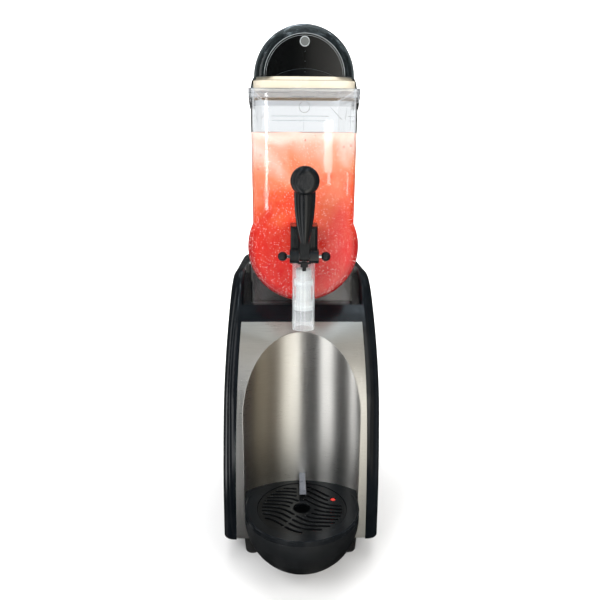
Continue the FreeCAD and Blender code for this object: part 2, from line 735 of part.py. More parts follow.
def auger():
    inner = COLD_DRUM_RADIUS + RUN_GAP
    plate_rear = COLD_DRUM_FRONT_Y - 3 * RUN_GAP
    height = AUGER_REAR_Y - plate_rear - AUGER_BLADE
    half = AUGER_BLADE / 2
    corners = [V(inner, 0, -half), V(AUGER_RADIUS, 0, -half), V(AUGER_RADIUS, 0, half), V(inner, 0, half)]
    profile = Part.makePolygon(corners + [corners[0]])
    blade = helix_sweep(profile, AUGER_PITCH, height, inner, V(0, plate_rear - half, AXIS_Z))
    plate = cylinder(AUGER_RADIUS - RUN_GAP, V(0, plate_rear - AUGER_PLATE, AXIS_Z), Y_AXIS, AUGER_PLATE)
    hub = cylinder(AUGER_HUB_RADIUS, V(0, auger_front(), AXIS_Z), Y_AXIS, AUGER_HUB_LENGTH + 1)
    hub = round_edges(hub, 3.0, lambda e: abs(mid_point(e).y - auger_front()) < 0.1)
    holes = []
    for index in range(4):
        turn = math.radians(45 + 90 * index)
        reach = (AUGER_RADIUS + AUGER_HUB_RADIUS) / 2
        centre = V(reach * math.cos(turn), -200, AXIS_Z + reach * math.sin(turn))
        holes.append(cylinder(AUGER_HOLE_RADIUS, centre, Y_AXIS, 2 * FAR))
    bore = cylinder(SHAFT_RADIUS + FIT, V(0, SHAFT_FRONT_Y - FIT, AXIS_Z), Y_AXIS, 60)
    front = fuse([plate.cut(group(holes)), hub])
    return fuse([front, blade]).cut(bore)


def shaft_end():
    return gearbox_front() + GEARBOX_DEPTH / 2


def drive_shaft():
    length = shaft_end() - SHAFT_FRONT_Y
    return cylinder(SHAFT_RADIUS, V(0, SHAFT_FRONT_Y, AXIS_Z), Y_AXIS, length)


def tower_prism(inset, front, rear, low_z):
    half = TOWER_HALF - inset
    lower = box(-half, half, front, rear, low_z, TOWER_ARC_Z)
    round_top = cylinder(half, V(0, front, TOWER_ARC_Z), Y_AXIS, rear - front)
    round_top = round_top.common(box(-FAR, FAR, front, rear, TOWER_ARC_Z - 1, 700))
    return fuse([lower, round_top])


def bulkhead():
    plate = tower_prism(0.0, BULKHEAD_Y, BULKHEAD_Y + BULKHEAD_SHEET, DECK_Z + SEAT_GAP)
    holes = [cylinder(radius + PIPE_HOLE_GAP, V(x, 0, PIPE_ENTRY_Z), Y_AXIS, FAR)
             for x, y, radius in risers()]
    return plate.cut(cylinder(SHAFT_RADIUS + RUN_GAP, V(0, 0, AXIS_Z), Y_AXIS, 300)).cut(group(holes))


def bracket_front():
    return BULKHEAD_Y + BULKHEAD_SHEET


def motor_bracket():
    y = bracket_front()
    plate = box(-BRACKET_HALF, BRACKET_HALF, y, y + BRACKET_SHEET, DECK_Z, BRACKET_TOP_Z)
    toe = box(-BRACKET_HALF, BRACKET_HALF, y, y + 10 * BRACKET_SHEET, DECK_Z, DECK_Z + BRACKET_SHEET)
    hole = cylinder(SHAFT_RADIUS + RUN_GAP, V(0, 0, AXIS_Z), Y_AXIS, 300)
    return fuse([plate, toe]).cut(hole)


def gearbox_front():
    return bracket_front() + BRACKET_SHEET


def gearbox():
    y = gearbox_front()
    case = box(-GEARBOX_HALF, GEARBOX_HALF, y, y + GEARBOX_DEPTH, GEARBOX_LOW_Z, GEARBOX_HIGH_Z)
    case = round_edges(case, 8.0, lambda e: abs(mid_point(e).y - y - GEARBOX_DEPTH / 2) < 0.1)
    boss = cylinder(SHAFT_RADIUS + BUSH_WALL, V(0, y + GEARBOX_DEPTH, AXIS_Z), Y_AXIS, 6)
    hole = cylinder(SHAFT_RADIUS + FIT, V(0, y - 1, AXIS_Z), Y_AXIS, shaft_end() - y + 1 + RUN_GAP)
    return fuse([case, boss]).cut(hole)


def gear_motor():
    y = gearbox_front() + GEARBOX_DEPTH
    can = cylinder(MOTOR_RADIUS, V(0, y, MOTOR_Z), Y_AXIS, MOTOR_LENGTH)
    can = round_edges(can, 4.0, lambda e: abs(mid_point(e).y - y - MOTOR_LENGTH) < 0.1)
    high = MOTOR_Z + MOTOR_RADIUS + TERMINAL_HEIGHT
    terminal = box(-TERMINAL_HALF, TERMINAL_HALF, y + 2, y + 2 + TERMINAL_DEPTH,
                   high - TERMINAL_HEIGHT - 3, high)
    return fuse([can, terminal])


def motor_cover():
    front = BULKHEAD_Y + BULKHEAD_SHEET
    outer = tower_prism(0.0, front, COVER_REAR_Y, DECK_Z)
    outer = round_edges(outer, COVER_EDGE_RADIUS,
                        lambda e: abs(mid_point(e).y - COVER_REAR_Y) < 0.1 and mid_point(e).z > DECK_Z + 1)
    inner_rear = COVER_REAR_Y - COVER_WALL
    inner = tower_prism(COVER_WALL, front - 1, inner_rear, DECK_Z - 1)
    inner = round_edges(inner, COVER_EDGE_RADIUS - COVER_WALL,
                        lambda e: abs(mid_point(e).y - inner_rear) < 0.1 and mid_point(e).z > DECK_Z)
    cover = outer.cut(inner)
    cuts = [switch_box(index, 0.0) for index in range(3)]
    cuts.append(cylinder(KNOB_RADIUS / 2, V(0, COVER_REAR_Y - 10, KNOB_Z), Y_AXIS, 30))
    cuts += [screw_hole(place) for place in cover_screw_places()]
    return cover.cut(group(cuts))


# Controls

def switch_x(index):
    return (index - 1) * SWITCH_PITCH


def switch_box(index, inset):
    x = switch_x(index)
    return box(x - SWITCH_HALF_X + inset, x + SWITCH_HALF_X - inset, COVER_REAR_Y - 16, COVER_REAR_Y + 16,
               SWITCH_Z - SWITCH_HALF_Z + inset, SWITCH_Z + SWITCH_HALF_Z - inset)


def switch_frame(index):
    x = switch_x(index)
    lip = box(x - SWITCH_HALF_X - 1.5, x + SWITCH_HALF_X + 1.5, COVER_REAR_Y, COVER_REAR_Y + SWITCH_BEZEL,
              SWITCH_Z - SWITCH_HALF_Z - 1.5, SWITCH_Z + SWITCH_HALF_Z + 1.5)
    body = switch_box(index, FIT).common(box(-FAR, FAR, COVER_REAR_Y - 12, COVER_REAR_Y + 1, 0, 900))
    slice_room = box(-FAR, FAR, COVER_REAR_Y - 10, COVER_REAR_Y + 20, 0, 3 * FAR)
    hole = switch_box(index, ROCKER_WALL).common(slice_room)
    return fuse([lip, body]).cut(hole)


def rocker(index):
    """Two-sided key that tips about an axis along X through the bezel's centre."""
    x = switch_x(index)
    half_z = SWITCH_HALF_Z - ROCKER_WALL - RUN_GAP
    half_x = SWITCH_HALF_X - ROCKER_WALL - SEAT_GAP
    pin_half = SWITCH_HALF_X - ROCKER_WALL - FIT
    y = COVER_REAR_Y
    tip = half_z * math.tan(math.radians(ROCKER_TILT))
    outline = [V(x - half_x, y - 1, SWITCH_Z - half_z), V(x - half_x, y + 1 + 2 * tip, SWITCH_Z - half_z),
               V(x - half_x, y + 2, SWITCH_Z), V(x - half_x, y + 1 + 2 * tip, SWITCH_Z + half_z),
               V(x - half_x, y - 1, SWITCH_Z + half_z), V(x - half_x, y - 5, SWITCH_Z)]
    pin = cylinder(ROCKER_PIN_RADIUS, V(x - pin_half, COVER_REAR_Y, SWITCH_Z), X_AXIS, 2 * pin_half)
    key = fuse([polygon(outline).extrude(V(2 * half_x, 0, 0)), pin])
    key.rotate(V(0, COVER_REAR_Y, SWITCH_Z), X_AXIS, -ROCKER_TILT)
    return key


def hardness_knob():
    y = COVER_REAR_Y + SEAT_GAP
    cap = cylinder(KNOB_RADIUS, V(0, y, KNOB_Z), Y_AXIS, KNOB_LENGTH)
    cap = round_edges(cap, 2.0, lambda e: abs(mid_point(e).y - y - KNOB_LENGTH) < 0.1)
    stem = cylinder(KNOB_STEM_RADIUS, V(0, COVER_REAR_Y - 12, KNOB_Z), Y_AXIS, 13)
    notches = []
    for index in range(12):
        turn = math.radians(30 * index)
        centre = V(KNOB_RADIUS * math.cos(turn), y + 3, KNOB_Z + KNOB_RADIUS * math.sin(turn))
        notches.append(cylinder(1.5, centre, Y_AXIS, 30))
    pointer = box(-0.8, 0.8, y + KNOB_LENGTH - 1.0, y + KNOB_LENGTH + 1, KNOB_Z + 2, KNOB_Z + KNOB_RADIUS)
    return fuse([cap, stem]).cut(group(notches)).cut(pointer)


def knob_switch():
    """Rotary switch body behind the cover that the knob's stem turns in."""
    y = COVER_REAR_Y - COVER_WALL - SEAT_GAP
    block = box(-14, 14, y - 14, y, KNOB_Z - 14, KNOB_Z + 14)
    return block.cut(cylinder(KNOB_STEM_RADIUS + FIT, V(0, y - 30, KNOB_Z), Y_AXIS, 60))


def control_board():
    y0 = gearbox_front() + 2
    sheet = box(BOARD_X, BOARD_X + BOARD_SHEET, y0, COVER_REAR_Y - 16, DECK_Z + 6,
                DECK_Z + 6 + 2 * BOARD_HALF)
    relays = [box(BOARD_X - 12, BOARD_X, y0 + 6 + 20 * index, y0 + 20 + 20 * index, DECK_Z + 20, DECK_Z + 45)
              for index in range(2)]
    foot_strip = box(BOARD_X - 3, BOARD_X + BOARD_SHEET + 3, y0, COVER_REAR_Y - 16, DECK_Z, DECK_Z + 6)
    return fuse([sheet, foot_strip] + relays)


def power_inlet():
    face = rear_face() - REAR_SHEET
    rim = box(INLET_X - INLET_HALF_X - 4, INLET_X + INLET_HALF_X + 4, face - 2, face,
              INLET_Z - INLET_HALF_Z - 3, INLET_Z + INLET_HALF_Z + 3)
    body = box(INLET_X - INLET_HALF_X + FIT, INLET_X + INLET_HALF_X - FIT, face - 20, rear_face(),
               INLET_Z - INLET_HALF_Z + FIT, INLET_Z + INLET_HALF_Z - FIT)
    mouth = box(INLET_X - INLET_HALF_X + 3, INLET_X + INLET_HALF_X - 3, face - 15, BODY_REAR,
                INLET_Z - INLET_HALF_Z + 3, INLET_Z + INLET_HALF_Z - 3)
    pins = [box(INLET_X + dx - 1, INLET_X + dx + 1, face - 16, face - 2, INLET_Z - 2, INLET_Z + 2)
            for dx in (-7, 0, 7)]
    return fuse([rim, body]).cut(mouth).fuse(pins).removeSplitter()


# Drip tray, grate, float and spout

def tray_depth(inset):
    return TRAY_TOP_Z - TRAY_LIP - TRAY_BOTTOM_Z - inset


def tray_curve(inset):
    """Quarter ellipse of the bowl's section, from the bottom to the lip."""
    lip = V(0, TRAY_CENTRE_Y, TRAY_TOP_Z - TRAY_LIP)
    radius = TRAY_RADIUS - inset
    depth = tray_depth(inset)
    along = lip + V(radius, 0, 0)
    below = lip - V(0, 0, depth)
    quarter = math.pi / 2
    if radius >= depth:
        return Part.Ellipse(along, below, lip).toShape(0, quarter), below, along
    return Part.Ellipse(below, along, lip).toShape(0, quarter), below, along


def tray_solid(inset):
    """Half-round bowl form in front, straight behind it, moved in by inset."""
    bend, low, side = tray_curve(inset)
    top_side = V(side.x, TRAY_CENTRE_Y, TRAY_TOP_Z)
    top_mid = V(0, TRAY_CENTRE_Y, TRAY_TOP_Z)
    half = face_of([bend, line(side, top_side), line(top_side, top_mid), line(top_mid, low)])
    front = half.revolve(V(0, TRAY_CENTRE_Y, 0), Z_AXIS, -180)
    rear_end = FRONT_Y - SEAT_GAP - inset
    right = half.extrude(V(0, rear_end - TRAY_CENTRE_Y, 0))
    return fuse([front, right, mirror_x(right)])


def tray_floor(x):
    """Height of the tray's inner floor at a distance from its middle, behind the round front."""
    share = x / (TRAY_RADIUS - TRAY_WALL)
    return TRAY_TOP_Z - TRAY_LIP - tray_depth(TRAY_WALL) * math.sqrt(1 - share ** 2)


def tray_tongue(inset):
    """Rear of the tray that reaches into the recess."""
    low = RECESS_FLOOR_Z + SEAT_GAP + inset
    half = TRAY_RADIUS - inset
    block = box(-half, half, TRAY_CENTRE_Y, 0, low, TRAY_TOP_Z)
    return block.common(recess_cylinder(RECESS_RADIUS - SEAT_GAP - inset, low, TRAY_TOP_Z))


def drip_tray():
    outer = fuse([tray_solid(0.0), tray_tongue(0.0)])
    inner = fuse([tray_solid(TRAY_WALL), tray_tongue(TRAY_WALL)])
    shelf_top = TRAY_TOP_Z - GRATE_DROP - GRATE_SHEET
    inner = slice_z(inner, 0, shelf_top - TRAY_WALL)
    seat = cylinder(GRATE_RADIUS + SEAT_GAP, V(0, GRATE_CENTRE_Y, shelf_top), Z_AXIS, 50)
    throat = cylinder(GRATE_RADIUS - GRATE_LEDGE, V(0, GRATE_CENTRE_Y, shelf_top - 20), Z_AXIS, 50)
    return outer.cut(fuse([inner, seat, throat]))


def grate_top():
    return TRAY_TOP_Z - GRATE_DROP


def grate_low():
    return grate_top() - GRATE_SHEET + SEAT_GAP / 3


def wave_line(x, row):
    """Y of a slot's middle line from the grate's middle: an S that leans with its row."""
    return row - SLOT_WAVE * math.tanh((x - SLOT_LEAN * row) / SLOT_WAVE)


def slot_ok(x, row):
    """Whether a slot of this row is cut at x: clear of the rim, the hub, the float and the bridge."""
    y = wave_line(x, row)
    half = SLOT_WIDTH / 2
    reach = math.hypot(x, y)
    if reach > GRATE_RADIUS - SLOT_MARGIN - half or reach < GRATE_HOLE_RADIUS + SLOT_HUB_MARGIN + half:
        return False
    if math.hypot(x - FLOAT_X, y - FLOAT_Y + GRATE_CENTRE_Y) < FLOAT_RADIUS + SLOT_FLOAT_MARGIN + half:
        return False
    if y > SPOUT_FRONT_Y - GRATE_CENTRE_Y - SPOUT_HALF and abs(x) < BRIDGE_REAR_HALF:
        return False
    return y > -SLOT_HUB_MARGIN or abs(x - BRIDGE_LEAN * y) > BRIDGE_FRONT_HALF


def slot_runs(row):
    """Runs of x along one row in which its slot is cut."""
    step = SLOT_WIDTH / 4
    count = int(GRATE_RADIUS / step)
    runs = []
    start = None
    for index in range(-count, count + 2):
        x = index * step
        if index <= count and slot_ok(x, row):
            start = x if start is None else start
        elif start is not None:
            runs.append((start, x - step))
            start = None
    return [run for run in runs if run[1] - run[0] > 2 * SLOT_WIDTH]


def wave_slot(row, low_x, high_x):
    """One S-shaped slot of constant width with round ends."""
    half = SLOT_WIDTH / 2
    count = max(4, int((high_x - low_x) / SLOT_PITCH) + 2)
    upper = []
    lower = []
    for index in range(count + 1):
        x = low_x + (high_x - low_x) * index / count
        slope = (wave_line(x + 0.1, row) - wave_line(x - 0.1, row)) / 0.2
        side = V(-slope, 1, 0).normalize() * half
        middle = V(x, GRATE_CENTRE_Y + wave_line(x, row), grate_low() - 2)
        upper.append(middle + side)
        lower.append(middle - side)
    top_curve = Part.BSplineCurve()
    top_curve.interpolate(upper)
    low_curve = Part.BSplineCurve()
    low_curve.interpolate(lower)
    right_axis = (lower[-1] - upper[-1]).normalize()
    left_axis = (lower[0] - upper[0]).normalize()
    right_mid = (upper[-1] + lower[-1]) / 2 + V(-right_axis.y, right_axis.x, 0) * half
    left_mid = (upper[0] + lower[0]) / 2 - V(-left_axis.y, left_axis.x, 0) * half
    face = face_of([top_curve.toShape(), arc(upper[-1], right_mid, lower[-1]), low_curve.toShape(),
                    arc(lower[0], left_mid, upper[0])])
    return face.extrude(V(0, 0, GRATE_SHEET + 10))


def drip_grate():
    low = grate_low()
    plate = cylinder(GRATE_RADIUS, V(0, GRATE_CENTRE_Y, low), Z_AXIS, grate_top() - low)
    cuts = [cylinder(GRATE_HOLE_RADIUS, V(0, GRATE_CENTRE_Y, low - 5), Z_AXIS, 20),
            cylinder(FLOAT_RADIUS + 0.6, V(FLOAT_X, FLOAT_Y, low - 5), Z_AXIS, 20)]
    count = int((GRATE_RADIUS + SLOT_WAVE) / SLOT_PITCH)
    for index in range(-count, count + 1):
        row = index * SLOT_PITCH
        cuts += [wave_slot(row, low_x, high_x) for low_x, high_x in slot_runs(row)]
    return plate.cut(group(cuts))


def float_indicator():
    top = grate_top() - FLOAT_DROP
    foot_x = FLOAT_X - FLOAT_FOOT_SHIFT
    low = tray_floor(foot_x + FLOAT_FOOT_RADIUS) + SEAT_GAP
    rod = cylinder(FLOAT_RADIUS, V(FLOAT_X, FLOAT_Y, low), Z_AXIS, top - low)
    rod = round_edges(rod, 1.5, lambda e: abs(mid_point(e).z - top) < 0.1)
    disc = cylinder(FLOAT_FOOT_RADIUS, V(foot_x, FLOAT_Y, low), Z_AXIS, FLOAT_FOOT_HEIGHT)
    return fuse([rod, disc])


def spout_bar(inset, front):
    half = SPOUT_HALF - inset
    rise = SPOUT_HEIGHT / 2 - inset
    return box(SPOUT_X - half, SPOUT_X + half, front, RECESS_BACK_Y + SPOUT_TAIL + inset, SPOUT_Z - rise,
               SPOUT_Z + rise)


def drain_spout():
    """Tongue out of the recess wall, hollow inside and open below at its front."""
    outer = spout_bar(0.0, SPOUT_FRONT_Y)
    outer = round_edges(outer, SPOUT_EDGE, lambda e: abs(e.BoundBox.YLength) > SPOUT_TAIL
                        and mid_point(e).z > SPOUT_Z)
    bore = spout_bar(SPOUT_WALL, SPOUT_FRONT_Y + 2 * SPOUT_WALL)
    drip = cylinder(SPOUT_HALF - 2 * SPOUT_WALL, V(SPOUT_X, SPOUT_FRONT_Y + SPOUT_HALF + SPOUT_WALL, 0),
                    Z_AXIS, SPOUT_Z)
    return outer.cut(bore).cut(drip)


# Tap

def finger_tip():
    turn = math.radians(FINGER_ANGLE)
    return V(0, PIVOT_Y + FINGER_LENGTH * math.cos(turn), PIVOT_Z + FINGER_LENGTH * math.sin(turn))


def valve_tube():
    outer = cylinder(TUBE_RADIUS, V(0, TAP_Y, TUBE_BOTTOM_Z), Z_AXIS, TUBE_TOP_Z - TUBE_BOTTOM_Z)
    neck_end = BOWL_FRONT_Y - FIT
    neck = cylinder(NECK_RADIUS, V(0, TAP_Y, PORT_Z), Y_AXIS, neck_end - TAP_Y)
    port = cylinder(PORT_RADIUS, V(0, TAP_Y, PORT_Z), Y_AXIS, 60)
    bore = cylinder(TUBE_RADIUS - TUBE_WALL, V(0, TAP_Y, TUBE_BOTTOM_Z - 1), Z_AXIS, 200)
    return fuse([outer, neck]).cut(bore).cut(port)


def ring_heights():
    return (PISTON_BOTTOM_Z + PISTON_FLANGE / 2, PISTON_COLLAR_Z + PISTON_COLLAR / 2)


def piston_land_radius():
    return TUBE_RADIUS - TUBE_WALL - SEAT_GAP


def tap_piston():
    base = V(0, TAP_Y, 0)
    land = piston_land_radius()
    body = cylinder(PISTON_RADIUS, base + V(0, 0, PISTON_BOTTOM_Z), Z_AXIS,
                    PISTON_SHOULDER_Z - PISTON_BOTTOM_Z)
    flange = cylinder(land, base + V(0, 0, PISTON_BOTTOM_Z), Z_AXIS, PISTON_FLANGE)
    collar = cylinder(land, base + V(0, 0, PISTON_COLLAR_Z), Z_AXIS, PISTON_COLLAR)
    rod = cylinder(ROD_RADIUS, base + V(0, 0, PISTON_SHOULDER_Z - 1), Z_AXIS,
                   ROD_TOP_Z - PISTON_SHOULDER_Z + 1)
    cap = cylinder(ROD_CAP_RADIUS, base + V(0, 0, ROD_TOP_Z - ROD_CAP), Z_AXIS, ROD_CAP)
    tip = finger_tip()
    eye_half = FINGER_TIP_RADIUS + EYE_SPACE
    eye = box(-EYE_HALF, EYE_HALF, TAP_Y - 30, TAP_Y + 30, tip.z - eye_half, tip.z + eye_half)
    piston = fuse([body, flange, collar, rod]).cut(eye)
    grooves = [tube(land + 1, land - PISTON_RING_DEPTH, base + V(0, 0, z - PISTON_RING_WIDTH / 2),
                    Z_AXIS, PISTON_RING_WIDTH) for z in ring_heights()]
    return fuse([piston.cut(group(grooves)), cap])


def piston_rings():
    outer = TUBE_RADIUS - TUBE_WALL - FIT
    inner = piston_land_radius() - PISTON_RING_DEPTH + FIT
    width = PISTON_RING_WIDTH - 2 * FIT
    return group([tube(outer, inner, V(0, TAP_Y, z - width / 2), Z_AXIS, width) for z in ring_heights()])


def spring_low():
    return ROD_TOP_Z + SPRING_WIRE + FIT


def spring_high():
    return BRACKET_BLOCK_TOP - BRACKET_ROOF - SPRING_WIRE - FIT


def coil_wire(coil_radius, wire_radius, pitch, turns, start):
    """Round wire wound about +Z in short straight runs with mitred joints."""
    steps = int(COIL_STEPS * turns)
    points = []
    for index in range(steps + 1):
        turn = 2 * math.pi * index / COIL_STEPS
        points.append(start + V(coil_radius * math.cos(turn), coil_radius * math.sin(turn),
                                pitch * index / COIL_STEPS))
    first = (points[1] - points[0]).normalize()
    ring = Part.Wire(Part.Circle(points[0], first, wire_radius).toShape())
    return Part.makePolygon(points).makePipeShell([ring], True, False, 1)


def tap_spring():
    low = spring_low()
    height = spring_high() - low
    return coil_wire(SPRING_RADIUS, SPRING_WIRE, height / SPRING_TURNS, SPRING_TURNS, V(0, TAP_Y, low))


def tap_bracket():
    half = BRACKET_BLOCK_HALF
    rear = BOWL_FRONT_Y - SEAT_GAP
    block = box(-half, half, BRACKET_BLOCK_FRONT, rear, TUBE_TOP_Z + SEAT_GAP, BRACKET_BLOCK_TOP)
    block = round_edges(block, 5.0, lambda e: abs(mid_point(e).y - BRACKET_BLOCK_FRONT) < 0.1
                        and mid_point(e).z > TUBE_TOP_Z + 1)
    bore_low = cylinder(BRACKET_BORE_RADIUS, V(0, TAP_Y, TUBE_TOP_Z - 1), Z_AXIS,
                        BRACKET_BLOCK_TOP - BRACKET_ROOF - TUBE_TOP_Z + 1)
    ear = cylinder(EAR_RADIUS, V(EAR_INNER, PIVOT_Y, PIVOT_Z), X_AXIS, EAR_OUTER - EAR_INNER)
    web = box(EAR_INNER, half, PIVOT_Y, BRACKET_BLOCK_FRONT + 6, TUBE_TOP_Z + SEAT_GAP, PIVOT_Z + EAR_RADIUS)
    bridge_y = PIVOT_Y - TONGUE_SET_FORWARD
    slot_low = PIVOT_Z - HUB_RADIUS - SLOT_CLEARANCE
    bridge = box(-EAR_INNER - 2, EAR_INNER + 2, bridge_y, bridge_y + TONGUE_DEPTH + 1, PIVOT_Z - EAR_RADIUS,
                 slot_low)
    tongue = box(-TONGUE_HALF, TONGUE_HALF, bridge_y, bridge_y + TONGUE_DEPTH, TONGUE_STEP_Z, slot_low)
    tip = box(-TONGUE_TIP_HALF, TONGUE_TIP_HALF, bridge_y, bridge_y + TONGUE_DEPTH, TONGUE_LOW_Z,
              TONGUE_STEP_Z + 1)
    slot = box(-EAR_INNER, EAR_INNER, -FAR, TAP_Y, slot_low, BRACKET_BLOCK_TOP - BRACKET_EYE_ROOF)
    pin_hole = cylinder(PIN_RADIUS + FIT, V(-60, PIVOT_Y, PIVOT_Z), X_AXIS, 120)
    solid = fuse([block] + both_sides(ear) + both_sides(web))
    guide = cylinder(GUIDE_RADIUS, V(0, TAP_Y, spring_high() - GUIDE_LENGTH), Z_AXIS, GUIDE_LENGTH + 3)
    solid = solid.cut(slot).cut(bore_low).fuse(guide)
    return fuse([solid, bridge, tongue, tip]).cut(pin_hole)


def tap_pin():
    return cylinder(PIN_RADIUS, V(-PIN_HALF, PIVOT_Y, PIVOT_Z), X_AXIS, 2 * PIN_HALF)


def pin_balls():
    ball = Part.makeSphere(PIN_BALL_RADIUS, V(PIN_BALL_X, PIVOT_Y, PIVOT_Z))
    ball = ball.cut(cylinder(PIN_RADIUS + FIT, V(0, PIVOT_Y, PIVOT_Z), X_AXIS, PIN_HALF + FIT))
    return group(both_sides(ball))


def handle_section(z, y, half, depth):
    """Rounded section of the lever's handle at a height."""
    ring = [V(-half, y, z), V(0, y - depth / 2, z), V(half, y, z)]
    back = [V(half, y, z), V(0, y + depth / 2, z), V(-half, y, z)]
    return Part.Wire([arc(*ring), arc(*back)])


def tap_lever():
    pivot = V(0, PIVOT_Y, PIVOT_Z)
    hub_half = EAR_INNER - RUN_GAP
    hub = cylinder(HUB_RADIUS, V(-hub_half, PIVOT_Y, PIVOT_Z), X_AXIS, 2 * hub_half)
    neck = box(-hub_half, hub_half, PIVOT_Y - 5.5, PIVOT_Y + 3.0, PIVOT_Z,
               BRACKET_BLOCK_TOP - BRACKET_EYE_ROOF)
    sections = [handle_section(HANDLE_LOW_Z + 6, HANDLE_LOW_Y - 6, HANDLE_LOW_HALF - 3.5, HANDLE_DEPTH - 2),
                handle_section((HANDLE_LOW_Z + HANDLE_HIGH_Z) / 2, (HANDLE_LOW_Y + HANDLE_HIGH_Y) / 2 - 4,
                               (HANDLE_LOW_HALF + HANDLE_HIGH_HALF) / 2, HANDLE_DEPTH),
                handle_section(HANDLE_HIGH_Z, HANDLE_HIGH_Y, HANDLE_HIGH_HALF, HANDLE_DEPTH + 2)]
    handle = Part.makeLoft(sections, True, False)
    knob = cylinder(LEVER_KNOB_RADIUS, V(0, LEVER_KNOB_Y + LEVER_KNOB_DEPTH / 2, LEVER_KNOB_Z),
                    V(0, -1, 0), LEVER_KNOB_DEPTH)
    knob = round_edges(knob, LEVER_KNOB_DEPTH / 2 - 2, lambda e: abs(mid_point(e).z - LEVER_KNOB_Z) > 1
                       or abs(mid_point(e).x) > 1)
    tip = finger_tip()
    finger = box(-FINGER_HALF_WIDTH, FINGER_HALF_WIDTH, PIVOT_Y, PIVOT_Y + FINGER_LENGTH,
                 PIVOT_Z - FINGER_HALF_DEPTH, PIVOT_Z + FINGER_HALF_DEPTH)
    finger.rotate(pivot, X_AXIS, FINGER_ANGLE)
    round_tip = cylinder(FINGER_TIP_RADIUS, V(-FINGER_HALF_WIDTH, tip.y, tip.z), X_AXIS,
                         2 * FINGER_HALF_WIDTH)
    lever = fuse([hub, neck, handle, knob, finger, round_tip])
    return lever.cut(cylinder(PIN_RADIUS + FIT, V(-60, PIVOT_Y, PIVOT_Z), X_AXIS, 120))


# Lid

def lid_low():
    return BOWL_TOP_Z + LID_GAP


def lid_high():
    return lid_low() + LID_BAND_HEIGHT + LID_FLANGE_HEIGHT


def lid_base():
    low = lid_low()
    mid = low + LID_BAND_HEIGHT
    band = plan_block(LID_HALF, LID_FRONT_Y, LID_REAR_Y, low, mid, LID_CORNER)
    flange = plan_block(LID_HALF - LID_FLANGE_SET_IN, LID_FRONT_Y, LID_REAR_Y, mid - 1, lid_high(),
                        LID_FLANGE_CORNER)
    hollow = plan_block(LID_HALF - LID_WALL, LID_FRONT_Y + LID_WALL, LID_REAR_Y - LID_WALL, low - 1,
                        mid - LID_WALL, LID_CORNER - LID_WALL)
    inner_half = LID_HALF - LID_FLANGE_SET_IN - LID_WALL
    upper_hollow = plan_block(inner_half, LID_FRONT_Y + LID_WALL, LID_REAR_Y - LID_WALL, low - 1,
                              lid_high() - LID_WALL, LID_FLANGE_CORNER - LID_WALL)
    plug_half = BOWL_HALF_TOP - BOWL_WALL - LID_PLUG_GAP
    plug_front = BOWL_FRONT_Y + BOWL_WALL + LID_PLUG_GAP
    plug_rear = BOWL_REAR_Y - BOWL_WALL - LID_PLUG_DROP
    plug_corner = LID_CORNER - LID_WALL - 2 * LID_PLUG_GAP
    plug = plan_block(plug_half, plug_front, plug_rear, low - LID_PLUG_DROP, low + LID_WALL, plug_corner)
    plug_hollow = plan_block(plug_half - LID_WALL, plug_front + LID_WALL, plug_rear - LID_WALL,
                             low - LID_PLUG_DROP - 1, low + 2 * LID_WALL, plug_corner - LID_WALL)
    shell = fuse([band, flange]).cut(hollow).cut(upper_hollow)
    return shell.fuse(plug.cut(plug_hollow)).removeSplitter()


def dome_form(inset):
    """Half-round hood along Y whose two ends curve in to flat faces."""
    base_z = lid_high() + FIT
    radius = DOME_RADIUS - inset
    face = DOME_FACE_RADIUS - inset
    front = DOME_FRONT_Y + inset
    rear = LID_REAR_Y - DOME_REAR_SET - inset
    bevel = DOME_BEVEL - inset
    spread = radius - face
    turn = math.radians(45)
    points = [V(0, front, base_z), V(face, front, base_z), V(radius, front + bevel, base_z),
              V(radius, rear - bevel, base_z), V(face, rear, base_z), V(0, rear, base_z)]
    front_mid = V(face + spread * math.sin(turn), front + bevel * (1 - math.cos(turn)), base_z)
    rear_mid = V(face + spread * math.sin(turn), rear - bevel * (1 - math.cos(turn)), base_z)
    outline = face_of([line(points[0], points[1]), arc(points[1], front_mid, points[2]),
                       line(points[2], points[3]), arc(points[3], rear_mid, points[4]),
                       line(points[4], points[5]), line(points[5], points[0])])
    return outline.revolve(V(0, 0, base_z), Y_AXIS, -180)


def dome_skirt():
    """Side wall that steps out over the lid's flange and hangs down beside the band."""
    base_z = lid_high() + FIT
    knee_z = base_z - LID_FLANGE_HEIGHT
    y = DOME_FRONT_Y + DOME_BEVEL
    inner = DOME_RADIUS - DOME_WALL
    knee = inner + DOME_SKIRT_SPREAD
    foot = knee + DOME_SKIRT_FLARE
    outline = [V(inner, y, base_z + DOME_SKIRT_RISE), V(inner, y, base_z + 2 * DOME_SKIRT_RISE),
               V(DOME_RADIUS, y, base_z + 2 * DOME_SKIRT_RISE), V(knee + DOME_WALL, y, knee_z),
               V(foot + DOME_WALL, y, DOME_SKIRT_Z), V(foot, y, DOME_SKIRT_Z), V(knee, y, knee_z)]
    length = LID_REAR_Y - DOME_REAR_SET - DOME_BEVEL - y
    return polygon(outline).extrude(V(0, length, 0))


def dome_cover():
    hood = dome_form(0.0).cut(dome_form(DOME_WALL))
    dome = fuse([hood] + both_sides(dome_skirt()))
    return dome.cut(cylinder(LID_BOSS_RADIUS - 2.0 + FIT, V(0, DOME_FRONT_Y - 10, BOSS_Z), Y_AXIS, 30))


def display_insert():
    y = DOME_FRONT_Y + DOME_WALL + INSERT_BACK
    base_z = lid_high() + 2 * FIT
    plate = cylinder(INSERT_RADIUS, V(0, y, base_z), Y_AXIS, INSERT_SHEET)
    plate = plate.common(box(-100, 100, -FAR, FAR, base_z, 900))
    toe = box(-INSERT_RADIUS / 2, INSERT_RADIUS / 2, y, y + 14, base_z, base_z + 3)
    return fuse([plate, toe])


